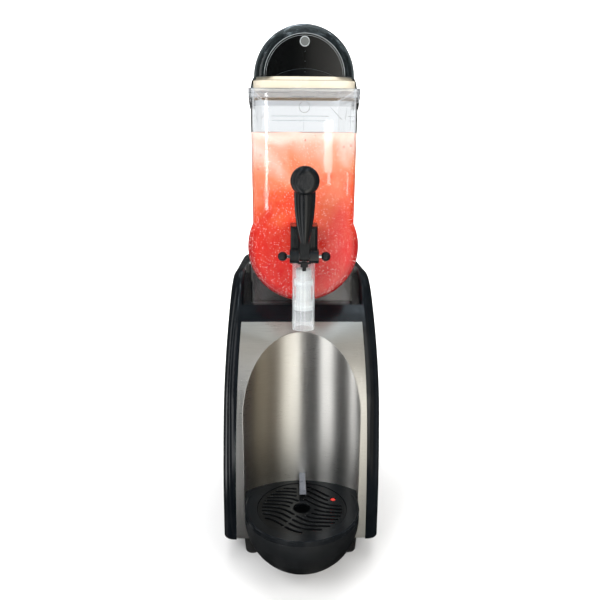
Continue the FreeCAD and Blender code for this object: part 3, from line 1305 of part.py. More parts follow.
def dome_boss():
    y = DOME_FRONT_Y
    cap = cylinder(LID_BOSS_RADIUS, V(0, y - 2.6, BOSS_Z), Y_AXIS, 2.6 - FIT)
    cap = round_edges(cap, 0.8, lambda e: abs(mid_point(e).y - y + 2.6) < 0.1)
    stem = cylinder(LID_BOSS_RADIUS - 2.0, V(0, y - 1, BOSS_Z), Y_AXIS, 1 + DOME_WALL + INSERT_BACK - FIT)
    return fuse([cap, stem])


def lid_light():
    y = DOME_FRONT_Y + DOME_WALL + INSERT_BACK + LIGHT_SET_BACK
    base_z = lid_high() + FIT
    strip = box(-LIGHT_HALF, LIGHT_HALF, y, y + LIGHT_DEPTH, base_z, base_z + 2)
    lamps = []
    for index in range(-2, 3):
        x = index * LAMP_PITCH
        lamps.append(box(x - 2, x + 2, y + 5, y + LIGHT_DEPTH - 5, base_z + 2, base_z + 4))
    return fuse([strip] + lamps)


# Refrigeration

def compressor():
    centre = V(0, COMPRESSOR_Y, COMPRESSOR_LOW_Z)
    can = cylinder(COMPRESSOR_RADIUS, centre, Z_AXIS, COMPRESSOR_HIGH_Z - COMPRESSOR_LOW_Z)
    can = round_edges(can, COMPRESSOR_DOME, lambda e: abs(mid_point(e).z - COMPRESSOR_HIGH_Z) < 0.1)
    can = round_edges(can, COMPRESSOR_DOME / 2, lambda e: abs(mid_point(e).z - COMPRESSOR_LOW_Z) < 0.1)
    half = MOUNT_HALF + MOUNT_RADIUS
    plate = box(-half, half, COMPRESSOR_Y - half, COMPRESSOR_Y + half, COMPRESSOR_LOW_Z,
                COMPRESSOR_LOW_Z + 3)
    plate = round_edges(plate, 12.0, lambda e: abs(mid_point(e).z - COMPRESSOR_LOW_Z - 1.5) < 0.01)
    return fuse([can, plate])


def compressor_mounts():
    low = BODY_BOTTOM + PAN_SHEET
    pads = []
    for dx in (-MOUNT_HALF, MOUNT_HALF):
        for dy in (-MOUNT_HALF, MOUNT_HALF):
            pads.append(cylinder(MOUNT_RADIUS, V(dx, COMPRESSOR_Y + dy, low), Z_AXIS,
                                 COMPRESSOR_LOW_Z - low))
    return group(pads)


def fan_blade():
    rear = FAN_Y + FAN_DEPTH
    hub = cylinder(FAN_HUB_RADIUS, V(0, FAN_Y, FAN_Z), Y_AXIS, FAN_DEPTH)
    blades = [hub]
    for index in range(FAN_BLADES):
        vane = box(FAN_HUB_RADIUS - 3, FAN_RADIUS, FAN_Y + FAN_DEPTH / 2 - 1, FAN_Y + FAN_DEPTH / 2 + 1,
                   -FAN_VANE_HALF, FAN_VANE_HALF)
        vane.rotate(V(0, FAN_Y + FAN_DEPTH / 2, 0), X_AXIS, FAN_VANE_TWIST)
        vane.rotate(V(0, 0, 0), Y_AXIS, 360.0 / FAN_BLADES * index)
        blades.append(vane.translated(V(0, 0, FAN_Z)))
    wheel = fuse(blades).common(cylinder(FAN_RADIUS, V(0, FAN_Y, FAN_Z), Y_AXIS, rear - FAN_Y))
    return wheel.cut(cylinder(FAN_SHAFT_RADIUS + FIT, V(0, FAN_Y - 1, FAN_Z), Y_AXIS, FAN_DEPTH - 4))


def fan_shaft():
    y = FAN_Y - FAN_MOTOR_LENGTH + FAN_SHAFT_SET
    return cylinder(FAN_SHAFT_RADIUS, V(0, y, FAN_Z), Y_AXIS, FAN_Y + FAN_DEPTH - FAN_SHAFT_SET - y)


def fan_motor():
    y = FAN_Y - FAN_MOTOR_GAP - FAN_MOTOR_LENGTH
    can = cylinder(FAN_MOTOR_RADIUS, V(0, y, FAN_Z), Y_AXIS, FAN_MOTOR_LENGTH)
    can = round_edges(can, 4.0, lambda e: abs(mid_point(e).y - y) < 0.1)
    low = BODY_BOTTOM + PAN_SHEET
    stand = box(-FAN_STAND_HALF, FAN_STAND_HALF, y + 4, y + FAN_MOTOR_LENGTH - 4, low, FAN_Z)
    bore = cylinder(FAN_SHAFT_RADIUS + FIT,
                    V(0, FAN_Y - FAN_MOTOR_LENGTH + FAN_SHAFT_SET - RUN_GAP, FAN_Z), Y_AXIS, FAR)
    return fuse([can, stand]).cut(bore)


def fan_shroud():
    front = SHROUD_REAR_Y - SHROUD_DEPTH
    low = frame_flange_top()
    high = FAN_Z + SHROUD_HALF
    outer = box(-SHROUD_HALF, SHROUD_HALF, front, SHROUD_REAR_Y, low, high)
    inner = box(-SHROUD_HALF + SHROUD_WALL, SHROUD_HALF - SHROUD_WALL, front + SHROUD_WALL,
                SHROUD_REAR_Y + 1,
                low + SHROUD_WALL, high - SHROUD_WALL)
    hole = cylinder(FAN_RADIUS + 2, V(0, front - 5, FAN_Z), Y_AXIS, 20)
    return outer.cut(inner).cut(hole)


def condenser():
    y0 = SHROUD_REAR_Y + SEAT_GAP
    y1 = y0 + CONDENSER_DEPTH
    low = frame_flange_top()
    high = FAN_Z + SHROUD_HALF
    plates = [box(x, x + 2, y0, y1, low, high) for x in (-SHROUD_HALF, SHROUD_HALF - 2)]
    pitch = (2 * SHROUD_HALF - 2) / (CONDENSER_FINS + 1)
    fins = [box(-SHROUD_HALF + pitch * (k + 1), -SHROUD_HALF + pitch * (k + 1) + FIN_SHEET, y0 + 2, y1 - 2,
                low + 8, high - 8) for k in range(CONDENSER_FINS)]
    rise = (high - low) / (CONDENSER_TUBES + 1)
    tubes = [cylinder(PIPE_RADIUS + 1, V(-SHROUD_HALF + 1, (y0 + y1) / 2, low + rise * (k + 1)), X_AXIS,
                      2 * SHROUD_HALF - 2) for k in range(CONDENSER_TUBES)]
    return fuse(plates + fins + tubes)


def filter_drier():
    low = DRIER_LOW_Z
    y = condenser_middle()
    body = cylinder(DRIER_RADIUS, V(DRIER_X, y, low), Z_AXIS, DRIER_LENGTH)
    body = round_edges(body, 5.0, lambda e: e.Closed and len(e.Vertexes) == 1)
    arm = box(DRIER_X, FRAME_X, y - 3, y + 3, low + 11, low + 19)
    return fuse([body, arm])


def condenser_middle():
    return SHROUD_REAR_Y + SEAT_GAP + CONDENSER_DEPTH / 2


def condenser_high():
    return FAN_Z + SHROUD_HALF


def pipe(points, radius):
    """Pipe along straight runs joined by tangent arcs."""
    bend = radius * PIPE_BEND
    edges = []
    start = points[0]
    for index in range(1, len(points) - 1):
        corner = points[index]
        before = (points[index - 1] - corner).normalize()
        after = (points[index + 1] - corner).normalize()
        half = before.getAngle(after) / 2
        back = bend / math.tan(half)
        a = corner + before * back
        b = corner + after * back
        axis = (before + after).normalize()
        middle = corner + axis * (bend / math.sin(half) - bend)
        edges.append(line(start, a))
        edges.append(arc(a, middle, b))
        start = b
    edges.append(line(start, points[-1]))
    path = Part.Wire(edges)
    first = (points[1] - points[0]).normalize()
    ring = Part.Wire(Part.Circle(points[0], first, radius).toShape())
    return path.makePipeShell([ring], True, False)


def risers():
    """Places where the suction pipe and the capillary pass the deck: x, y and pipe radius."""
    return [(-PIPE_RISER_X, PIPE_RISER_Y, PIPE_RADIUS), (PIPE_RISER_X, PIPE_RISER_Y - 4, CAPILLARY_RADIUS)]


def refrigerant_pipes():
    top = COMPRESSOR_HIGH_Z
    rear = condenser_middle()
    suction_z = top + SUCTION_RISE
    discharge_z = top + DISCHARGE_RISE
    x, y, radius = risers()[0]
    discharge = pipe([V(-PIPE_TOP_X, COMPRESSOR_Y, top), V(-PIPE_TOP_X, COMPRESSOR_Y, discharge_z),
                      V(-PIPE_TOP_X, rear, discharge_z),
                      V(-PIPE_TOP_X, rear, condenser_high() - PIPE_DIP)], radius)
    suction = pipe([V(PIPE_TOP_X, COMPRESSOR_Y, top), V(PIPE_TOP_X, COMPRESSOR_Y, suction_z),
                    V(PIPE_TOP_X, COMPRESSOR_Y + SUCTION_RUN, suction_z),
                    V(x, COMPRESSOR_Y + SUCTION_RUN, suction_z),
                    V(x, y, suction_z), V(x, y, PIPE_ENTRY_Z), V(x, BULKHEAD_Y, PIPE_ENTRY_Z)], radius)
    liquid_low = condenser_high() - PIPE_DIP
    liquid = cylinder(radius, V(DRIER_X, rear, liquid_low), Z_AXIS, DRIER_LOW_Z - liquid_low)
    return group([discharge, suction, liquid])


def capillary_tube():
    pitch = 4 * CAPILLARY_RADIUS
    height = pitch * CAPILLARY_TURNS
    low = DRIER_LOW_Z + DRIER_LENGTH + CAPILLARY_RADIUS + FIT
    rear = condenser_middle()
    coil = coil_wire(CAPILLARY_COIL, CAPILLARY_RADIUS, pitch, CAPILLARY_TURNS,
                     V(DRIER_X - CAPILLARY_COIL, rear, low))
    x, y, radius = risers()[1]
    rise = low + height + CAPILLARY_RADIUS + FIT
    turn_z = rise + 3 * PIPE_BEND * radius
    riser = pipe([V(DRIER_X, rear, rise), V(DRIER_X, rear, turn_z), V(DRIER_X, y, turn_z), V(x, y, turn_z),
                  V(x, y, PIPE_ENTRY_Z), V(x, BULKHEAD_Y, PIPE_ENTRY_Z)], radius)
    return group([coil, riser])


# Screws

def screw(position, direction):
    """Pan-head screw whose head sits on the surface at position and whose shank goes inward."""
    head = cylinder(SCREW_RADIUS, position, direction, SCREW_HEAD)
    head = head.makeFillet(1.2, [e for e in head.Edges if e.Closed and
                                 abs((mid_point(e) - position).dot(direction) - SCREW_HEAD) < 0.1])
    shank = cylinder(SCREW_SHANK_RADIUS, position - direction * SCREW_SHANK, direction, SCREW_SHANK + 0.5)
    centre = position + direction * SCREW_HEAD
    cross = [box(-2.2, 2.2, -0.5, 0.5, -1, 1), box(-0.5, 0.5, -2.2, 2.2, -1, 1)]
    turn = FreeCAD.Rotation(Z_AXIS, direction)
    for piece in cross:
        piece.Placement = FreeCAD.Placement(centre, turn)
    return fuse([head, shank]).cut(group(cross))


def screw_hole(place):
    return cylinder(SCREW_SHANK_RADIUS + FIT, place - Y_AXIS * 10, Y_AXIS, 20)


def cover_screw_places():
    y = COVER_REAR_Y
    low = [V(sx * (TOWER_HALF - 16), y, DECK_Z + 22) for sx in (-1, 1)]
    high = [V(sx * (TOWER_HALF - 36), y, TOWER_ARC_Z + 52) for sx in (-1, 1)]
    return low + high


def panel_screws():
    return group([screw(place, Y_AXIS) for place in rear_screw_places() + cover_screw_places()])


def rear_screw_places():
    x = half_width(SEAM_Z) - BAND - 8
    middle = (BODY_BOTTOM + SEAM_Z) / 2
    return [V(sx * x, rear_face(), z) for sx in (-1, 1) for z in (BODY_BOTTOM + 16, middle, SEAM_Z - 16)]


# Nodes

def build():
    right_panel = side_panel()
    right_frame = side_frame()
    nodes = {
        "base_pan": base_pan(),
        "feet": group([foot(x, y) for x in (-FOOT_X, FOOT_X) for y in (FOOT_FRONT_Y, FOOT_REAR_Y)]),
        "left_frame": mirror_x(right_frame),
        "right_frame": right_frame,
        "left_side_panel": mirror_x(right_panel),
        "right_side_panel": right_panel,
        "front_panel": front_panel(),
        "cup_recess": cup_recess(),
        "rear_panel": rear_panel(),
        "upper_housing": upper_housing(),
        "bowl": bowl(),
        "bowl_seal": bowl_seal(),
        "slush_fill": slush_fill(),
        "evaporator_drum": evaporator_drum(),
        "auger": auger(),
        "front_bush": bush(COLD_DRUM_FRONT_Y),
        "drive_shaft": drive_shaft(),
        "shaft_seal": shaft_seal(),
        "bulkhead": bulkhead(),
        "motor_bracket": motor_bracket(),
        "gearbox": gearbox(),
        "gear_motor": gear_motor(),
        "motor_cover": motor_cover(),
        "switch_frames": group([switch_frame(index) for index in range(3)]),
        "power_key": rocker(0),
        "mixer_key": rocker(1),
        "light_key": rocker(2),
        "panel_screws": panel_screws(),
        "hardness_knob": hardness_knob(),
        "hardness_switch": knob_switch(),
        "control_board": control_board(),
        "power_inlet": power_inlet(),
        "drip_tray": drip_tray(),
        "drip_grate": drip_grate(),
        "float_indicator": float_indicator(),
        "drain_spout": drain_spout(),
        "valve_tube": valve_tube(),
        "tap_piston": tap_piston(),
        "piston_rings": piston_rings(),
        "tap_spring": tap_spring(),
        "tap_bracket": tap_bracket(),
        "tap_pin": tap_pin(),
        "pin_balls": pin_balls(),
        "tap_lever": tap_lever(),
        "lid_base": lid_base(),
        "dome_cover": dome_cover(),
        "display_insert": display_insert(),
        "dome_boss": dome_boss(),
        "lid_light": lid_light(),
        "compressor": compressor(),
        "compressor_mounts": compressor_mounts(),
        "condenser": condenser(),
        "fan_shroud": fan_shroud(),
        "fan_motor": fan_motor(),
        "fan_shaft": fan_shaft(),
        "fan_blade": fan_blade(),
        "filter_drier": filter_drier(),
        "capillary_tube": capillary_tube(),
        "refrigerant_pipes": refrigerant_pipes(),
    }
    return nodes


os.makedirs("parts", exist_ok=True)
for name, shape in build().items():
    shape.exportStep("parts/" + name + ".step")
    print(name, len(shape.Solids), round(shape.Volume / 1000, 2), shape.isValid())
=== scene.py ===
import math
import bpy
from mathutils import Matrix, Vector, noise


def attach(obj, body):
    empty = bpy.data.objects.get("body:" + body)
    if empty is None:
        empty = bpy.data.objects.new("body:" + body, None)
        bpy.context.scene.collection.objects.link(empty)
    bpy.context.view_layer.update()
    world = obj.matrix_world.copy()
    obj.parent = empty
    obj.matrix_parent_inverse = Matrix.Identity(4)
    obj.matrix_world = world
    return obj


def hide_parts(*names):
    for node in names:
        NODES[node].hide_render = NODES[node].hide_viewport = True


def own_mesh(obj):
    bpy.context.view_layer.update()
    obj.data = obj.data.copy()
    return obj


MM = 0.001
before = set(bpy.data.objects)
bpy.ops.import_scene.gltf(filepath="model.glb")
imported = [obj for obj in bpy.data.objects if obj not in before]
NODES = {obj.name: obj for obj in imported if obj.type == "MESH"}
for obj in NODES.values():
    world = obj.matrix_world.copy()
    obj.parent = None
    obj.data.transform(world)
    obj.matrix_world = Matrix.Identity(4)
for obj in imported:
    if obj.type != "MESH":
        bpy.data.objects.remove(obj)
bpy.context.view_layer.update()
scene = bpy.context.scene


# Node graph helpers

class Graph:
    """A material with a principled shader and short calls that add nodes to it."""

    def __init__(self, name, color=(0.5, 0.5, 0.5), rough=0.5, metal=0.0, **more):
        self.mat = bpy.data.materials.new(name)
        self.mat.use_nodes = True
        self.tree = self.mat.node_tree
        self.tree.nodes.clear()
        self.out = self.tree.nodes.new("ShaderNodeOutputMaterial")
        self.bsdf = self.tree.nodes.new("ShaderNodeBsdfPrincipled")
        self.join(self.bsdf.outputs[0], self.out.inputs[0])
        self.put(Base_Color=(*color, 1.0), Roughness=rough, Metallic=metal, **more)

    def put(self, **values):
        for key, value in values.items():
            socket = self.bsdf.inputs[key.replace("_", " ")]
            if isinstance(value, bpy.types.NodeSocket):
                self.join(value, socket)
            else:
                socket.default_value = value
        return self

    def join(self, source, target):
        self.tree.links.new(source, target)

    def node(self, kind, **values):
        made = self.tree.nodes.new("ShaderNode" + kind)
        for key, value in values.items():
            setattr(made, key, value)
        return made

    def point(self, scale=(1, 1, 1)):
        """Place on the piece, in metres, stretched by scale."""
        coord = self.node("TexCoord")
        mapping = self.node("Mapping")
        mapping.inputs["Scale"].default_value = scale
        self.join(coord.outputs["Object"], mapping.inputs["Vector"])
        return mapping.outputs[0]

    def axis(self, name):
        split = self.node("SeparateXYZ")
        self.join(self.point(), split.inputs[0])
        return split.outputs[name]

    def noise(self, size, detail=3.0, rough=0.55, scale=(1, 1, 1), warp=0.0):
        """Noise value whose features are about size metres across."""
        made = self.node("TexNoise")
        made.inputs["Scale"].default_value = 1.0 / size
        made.inputs["Detail"].default_value = detail
        made.inputs["Roughness"].default_value = rough
        made.inputs["Distortion"].default_value = warp
        self.join(self.point(scale), made.inputs["Vector"])
        return made.outputs["Fac"]

    def cells(self, size, scale=(1, 1, 1)):
        """Distance to the nearest of scattered points about size metres apart."""
        made = self.node("TexVoronoi")
        made.inputs["Scale"].default_value = 1.0 / size
        self.join(self.point(scale), made.inputs["Vector"])
        return made.outputs["Distance"]

    def span(self, value, low, high, to_low=0.0, to_high=1.0, smooth=False):
        made = self.node("MapRange", interpolation_type="SMOOTHSTEP" if smooth else "LINEAR")
        made.inputs["From Min"].default_value = low
        made.inputs["From Max"].default_value = high
        made.inputs["To Min"].default_value = to_low
        made.inputs["To Max"].default_value = to_high
        self.join(value, made.inputs["Value"])
        return made.outputs[0]

    def ramp(self, value, stops):
        made = self.node("ValToRGB")
        ramp = made.color_ramp
        while len(ramp.elements) < len(stops):
            ramp.elements.new(0.5)
        for element, (place, color) in zip(ramp.elements, stops):
            element.position = place
            element.color = (*color, 1.0) if len(color) == 3 else color
        self.join(value, made.inputs[0])
        return made.outputs[0]

    def mix(self, share, a, b):
        made = self.node("Mix", data_type="RGBA")
        for socket, value in ((made.inputs[0], share), (made.inputs[6], a), (made.inputs[7], b)):
            if isinstance(value, bpy.types.NodeSocket):
                self.join(value, socket)
            elif isinstance(value, tuple):
                socket.default_value = (*value, 1.0)
            else:
                socket.default_value = value
        return made.outputs[2]

    def math(self, operation, a, b=0.0):
        made = self.node("Math", operation=operation)
        for socket, value in zip(made.inputs, (a, b)):
            if isinstance(value, bpy.types.NodeSocket):
                self.join(value, socket)
            else:
                socket.default_value = value
        return made.outputs[0]

    def bump(self, height, depth, strength=1.0):
        made = self.node("Bump")
        made.inputs["Strength"].default_value = strength
        made.inputs["Distance"].default_value = depth
        self.join(height, made.inputs["Height"])
        return made.outputs[0]


def plastic(name, color, rough, grain=0.0006, depth=0.00002, wear=0.06, second=None, **more):
    """Moulded plastic with slight tone, gloss and surface variation."""
    g = Graph(name, color, rough, **more)
    tone = g.noise(0.03, 4.0)
    other = second or tuple(min(1.0, c * 1.25 + 0.002) for c in color)
    g.put(Base_Color=g.mix(g.span(tone, 0.35, 0.7), tuple(color), other))
    g.put(Roughness=g.span(g.noise(0.012, 5.0), 0.3, 0.75, max(rough - wear, 0.02), rough + wear))
    g.put(Normal=g.bump(g.noise(grain, 2.0), depth))
    return g


def metal(name, color, rough, stretch=(1, 1, 1), lines=0.00035, depth=0.000004, aniso=0.0, turn=0.0, **more):
    """Rolled or brushed metal: fine lines along one axis in tone, gloss and height."""
    g = Graph(name, color, rough, 1.0, Anisotropic=aniso, Anisotropic_Rotation=turn, **more)
    streak = g.noise(lines, 3.0, 0.6, stretch)
    broad = g.noise(0.05, 3.0, 0.5, (1, 1, 0.4))
    dark = tuple(c * 0.86 for c in color)
    g.put(Base_Color=g.mix(g.span(streak, 0.3, 0.7), dark, tuple(color)))
    both = g.math("ADD", g.span(streak, 0.3, 0.7, -0.05, 0.05),
                  g.span(broad, 0.3, 0.7, rough - 0.03, rough + 0.03))
    g.put(Roughness=both, Normal=g.bump(streak, depth, 0.6))
    if aniso:
        g.put(Tangent=g.node("Tangent", direction_type="RADIAL", axis="Z").outputs[0])
    return g


def clear(name, color, rough=0.02, ior=1.49, ripple=0.00003):
    """Clear moulded plastic with a faint flow ripple and light rubbing marks."""
    g = Graph(name, color, rough, Transmission_Weight=1.0, IOR=ior)
    g.put(Roughness=g.span(g.noise(0.02, 5.0), 0.45, 0.8, rough, rough + 0.04))
    g.put(Normal=g.bump(g.noise(0.03, 2.0, 0.5, (1, 1, 0.5)), ripple))
    return g


def bowl_plastic():
    """Clear plastic that turns slightly milky in the thick rim at its top."""
    g = clear("clear_bowl", (0.975, 0.985, 0.99))
    rim = g.span(g.axis("Z"), 0.7305, 0.7320)
    g.put(Transmission_Weight=g.math("SUBTRACT", 1.0, g.math("MULTIPLY", rim, 0.16)))
    g.put(Base_Color=g.mix(rim, (0.975, 0.985, 0.99), (0.80, 0.83, 0.86)))
    return g


def lid_plastic():
    """Cream plastic with a dark line at the joint between the flange and the band, painted as the shadow
    under the overhanging flange.
    """
    g = plastic("cream_plastic", (0.60, 0.545, 0.43), 0.26, 0.003, 0.00001, 0.05, (0.65, 0.595, 0.48))
    high = g.axis("Z")
    # painted shadow: dark band where the flange overhangs the band
    line = g.math("MULTIPLY", g.span(high, 0.7526, 0.7530), g.span(high, 0.7534, 0.7538, 1.0, 0.0))
    base = g.bsdf.inputs["Base Color"].links[0].from_socket
    g.put(Base_Color=g.mix(g.math("MULTIPLY", line, 0.75), base, (0.10, 0.08, 0.05)))
    return g


def tray_plastic():
    """Satin below, polished at the lip."""
    g = plastic("tray_black", (0.0055, 0.0065, 0.0075), 0.45, 0.0009, 0.000008, 0.04, Specular_IOR_Level=0.3)
    lip = g.span(g.axis("Z"), 0.1185, 0.1215)
    satin = g.bsdf.inputs["Roughness"].links[0].from_socket
    g.put(Roughness=g.math("ADD", g.math("MULTIPLY", satin, g.math("SUBTRACT", 1.0, lip)),
                           g.math("MULTIPLY", lip, 0.09)))
    return g


gloss_black = plastic("gloss_black", (0.0030, 0.0042, 0.0056), 0.07, 0.004, 0.000004, 0.02,
                      Specular_IOR_Level=0.38).mat
satin_black = plastic("satin_black", (0.0030, 0.0042, 0.0056), 0.16, 0.0008, 0.000004, 0.04,
                      Specular_IOR_Level=0.38).mat
lever_black = plastic("lever_black", (0.0035, 0.0045, 0.0055), 0.20, 0.0006, 0.000006, 0.05).mat
tray_black = tray_plastic().mat
grate_black = plastic("grate_black", (0.0035, 0.004, 0.0045), 0.20, 0.0006, 0.000006, 0.05,
                      Specular_IOR_Level=0.35).mat
rubber_black = plastic("rubber_black", (0.008, 0.008, 0.008), 0.55, 0.0005, 0.00003).mat
white_plastic = plastic("white_plastic", (0.40, 0.42, 0.42), 0.34, 0.002, 0.00001, 0.05, (0.46, 0.47, 0.46),
                        Subsurface_Weight=0.2, Subsurface_Scale=0.004).mat
cream_plastic = lid_plastic().mat
red_plastic = plastic("red_plastic", (0.62, 0.04, 0.03), 0.25).mat
grey_plastic = plastic("grey_plastic", (0.15, 0.158, 0.18), 0.30).mat
board_green = plastic("board_green", (0.03, 0.16, 0.07), 0.4).mat
dark_insert = plastic("dark_insert", (0.016, 0.013, 0.010), 0.22, 0.004, 0.00001).mat
painted_can = plastic("painted_can", (0.012, 0.012, 0.013), 0.3, 0.002, 0.00003).mat
brushed_steel = metal("brushed_steel", (0.78, 0.77, 0.735), 0.33, (0.02, 0.02, 1), 0.0003, 0.000001, 0.97,
                      0.25).mat
steel_sheet = metal("steel_sheet", (0.45, 0.45, 0.45), 0.42, (0.05, 1, 1)).mat
chrome_pin = metal("chrome_pin", (0.78, 0.78, 0.79), 0.10, (0.1, 1, 1)).mat
cast_housing = metal("cast_housing", (0.16, 0.17, 0.18), 0.55, (1, 1, 1), 0.002, 0.00006).mat
fin_aluminium = metal("fin_aluminium", (0.62, 0.63, 0.64), 0.35).mat
copper_tube = metal("copper_tube", (0.60, 0.28, 0.16), 0.28).mat
clear_bowl = bowl_plastic().mat
clear_tube = clear("clear_tube", (0.90, 0.925, 0.94)).put(Transmission_Weight=0.86).mat
ring_white = plastic("ring_white", (0.50, 0.52, 0.52), 0.3).mat
smoked_clear = clear("smoked_clear", (0.12, 0.14, 0.145), 0.02).mat
milky_clear = plastic("milky_clear", (0.17, 0.18, 0.175), 0.18, 0.002, 0.00001, Transmission_Weight=0.5).mat

LOOKS = {
    "steel_sheet": steel_sheet, "brushed_steel": brushed_steel, "gloss_black": gloss_black,
    "satin_black": satin_black, "rubber_black": rubber_black, "clear_bowl": clear_bowl,
    "white_plastic": white_plastic, "cream_plastic": cream_plastic, "smoked_clear": smoked_clear,
    "dark_insert": dark_insert, "milky_clear": milky_clear, "red_plastic": red_plastic,
    "grey_plastic": grey_plastic, "chrome_pin": chrome_pin, "cast_housing": cast_housing,
    "painted_can": painted_can, "fin_aluminium": fin_aluminium, "copper_tube": copper_tube,
    "board_green": board_green,
}
SPECIAL = {"tap_lever": lever_black, "tap_bracket": lever_black, "pin_balls": lever_black,
           "drip_tray": tray_black, "drip_grate": grate_black, "valve_tube": clear_tube,
           "piston_rings": ring_white}
LIGHT_THROUGH = ("bowl", "valve_tube")
for node_name, obj in NODES.items():
    slots = [s.name.split(".")[0] for s in obj.data.materials if s] or ["satin_black"]
    look = SPECIAL.get(node_name) or LOOKS.get(slots[0], satin_black)
    obj.data.materials.clear()
    obj.data.materials.append(look)
    obj.visible_shadow = node_name not in LIGHT_THROUGH


# Mesh helpers

def make(name, verts, faces, material, body, smooth=True, stands_for=()):
    mesh = bpy.data.meshes.new(name)
    mesh.from_pydata([tuple(c * MM for c in v) for v in verts], [], faces)
    mesh.validate()
    mesh.update()
    if smooth:
        mesh.shade_smooth()
    obj = bpy.data.objects.new(name, mesh)
    scene.collection.objects.link(obj)
    return settle(obj, material, body, stands_for)


def settle(obj, material, body, stands_for=()):
    """Gives a finished piece its material, body and what it stands for."""
    obj.data.materials.clear()
    obj.data.materials.append(material)
    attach(obj, body)
    if stands_for:
        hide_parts(*stands_for)
    return obj


# Slush

DRUM_RADIUS = 78.5
DRUM_AXIS = 529.0
BOWL_TOP = 743.0
BOWL_HALF_LOW = 70.7
BOWL_SPREAD = 1.5
SLUSH_LEVEL = 687.0
SLUSH_GAP = 2.65
SLUSH_FRONT = -137.35
SLUSH_REAR = 160.6
SLUSH_CORNER = 4.5
ARC_STEPS = 40
WALL_STEPS = 24
CORNER_STEPS = 6
DEPTH_STEPS = 48
TOP_STEPS = 24
SLUSH_COLORS = [(0.0, (0.62, 0.003, 0.005)), (0.22, (0.66, 0.007, 0.008)), (0.42, (0.70, 0.030, 0.012)),
                (0.58, (0.73, 0.115, 0.040)), (0.74, (0.75, 0.26, 0.14)), (0.88, (0.76, 0.42, 0.33)),
                (1.0, (0.79, 0.60, 0.54))]


def bowl_half(z):
    return BOWL_HALF_LOW + BOWL_SPREAD * (z - DRUM_AXIS) / (BOWL_TOP - DRUM_AXIS)


def slush_material():
    """Red to peach by height, with ice specks, fine bubbles, and painted shade: darker red round the lower
    rounded edges.
    """
    g = Graph("slush_red", (0.8, 0.1, 0.05), 0.25, Subsurface_Weight=0.15, Subsurface_Scale=0.008,
              Specular_IOR_Level=0.35)
    g.put(Subsurface_Radius=(1.0, 0.35, 0.25))
    high = g.axis("Z")
    wide = g.axis("X")
    drift = g.span(g.noise(0.06, 3.0, 0.5, (1, 1, 1), warp=0.8), 0.3, 0.7, -0.032, 0.032)
    lean = g.span(wide, -0.07, 0.07, 0.006, -0.022)
    share = g.span(g.math("ADD", g.math("ADD", high, lean), drift), 0.450, 0.690)
    body = g.ramp(share, SLUSH_COLORS)
    depth = g.span(g.noise(0.02, 4.0, 0.6, (1, 1, 0.6), warp=1.5), 0.35, 0.75, 0.0, 0.35)
    body = g.mix(g.math("MULTIPLY", depth, 0.6), body, (0.78, 0.24, 0.13))
    drum = g.math("SQRT", g.math("ADD", g.math("MULTIPLY", wide, wide),
                                 g.math("POWER", g.math("SUBTRACT", high, 0.529), 2.0)))
    # painted shade: darker red along the lower rounded edges of the fill, next to the bowl wall
    painted_shade_edge = g.math("MULTIPLY", g.span(drum, 0.0665, 0.0745), g.span(high, 0.535, 0.565, 1.0, 0.0))
    body = g.mix(g.math("MULTIPLY", painted_shade_edge, 0.9), body, (0.36, 0.002, 0.005))
    ice = g.span(g.noise(0.0016, 2.0, 0.6), 0.64, 0.72)
    speck = g.span(g.cells(0.0030), 0.15, 0.21, 1.0, 0.0)
    keep = g.span(g.noise(0.02, 2.0), 0.36, 0.52)
    frost = g.math("MULTIPLY", g.math("MAXIMUM", ice, speck), keep)
    color = g.mix(g.math("MULTIPLY", frost, 0.9), body, (0.95, 0.74, 0.66))
    bubble = g.cells(0.007, scale=(1, 1, 0.9))
    ring = g.math("MULTIPLY", g.span(bubble, 0.10, 0.14), g.span(bubble, 0.17, 0.22, 1.0, 0.0))
    ring = g.math("MULTIPLY", ring, g.span(g.noise(0.03, 2.0), 0.50, 0.60))
    color = g.mix(g.math("MULTIPLY", ring, 0.7), color, (0.55, 0.02, 0.03))
    g.put(Base_Color=color, Normal=g.bump(g.noise(0.004, 4.0, 0.6), 0.0003, 0.6))
    return g.mat


def slush_outline():
    """Half section of the fill from the bottom middle round to the level, as (x, z)."""
    radius = DRUM_RADIUS - SLUSH_GAP
    meet = math.acos((bowl_half(DRUM_AXIS) - SLUSH_GAP) / radius)
    points = [(radius * math.sin(a), DRUM_AXIS - radius * math.cos(a))
              for a in [k * (math.pi / 2 + meet) / ARC_STEPS for k in range(ARC_STEPS + 1)]]
    start = points[-1][1]
    for k in range(1, WALL_STEPS + 1):
        z = start + (SLUSH_LEVEL - start) * k / WALL_STEPS
        points.append((bowl_half(z) - SLUSH_GAP, z))
    return points


def slush_stations():
    """Depths from front to rear, each with the inset of the rounded front edge."""
    quarter = [k * math.pi / 2 / CORNER_STEPS for k in range(CORNER_STEPS + 1)]
    stations = [(SLUSH_FRONT + SLUSH_CORNER * (1 - math.cos(a)), SLUSH_CORNER * (1 - math.sin(a)))
                for a in quarter]
    length = SLUSH_REAR - SLUSH_FRONT - SLUSH_CORNER
    return stations + [(SLUSH_FRONT + SLUSH_CORNER + length * k / DEPTH_STEPS, 0.0)
                       for k in range(1, DEPTH_STEPS + 1)]


def slush_height(x, y):
    """Uneven top of the fill."""
    broad = 1.4 * noise.noise((x * 0.03, y * 0.03, 3.1))
    return SLUSH_LEVEL + broad + 0.7 * noise.noise((x * 0.11, y * 0.11, 8.4)) - 0.8


def slush_point(x, y, z, inset):
    scale = 1.0 - inset / max(math.hypot(x, z - DRUM_AXIS), 1.0)
    x *= scale
    if z > SLUSH_LEVEL - 0.5:
        return x, y, slush_height(x, y)
    return x, y, DRUM_AXIS + (z - DRUM_AXIS) * scale


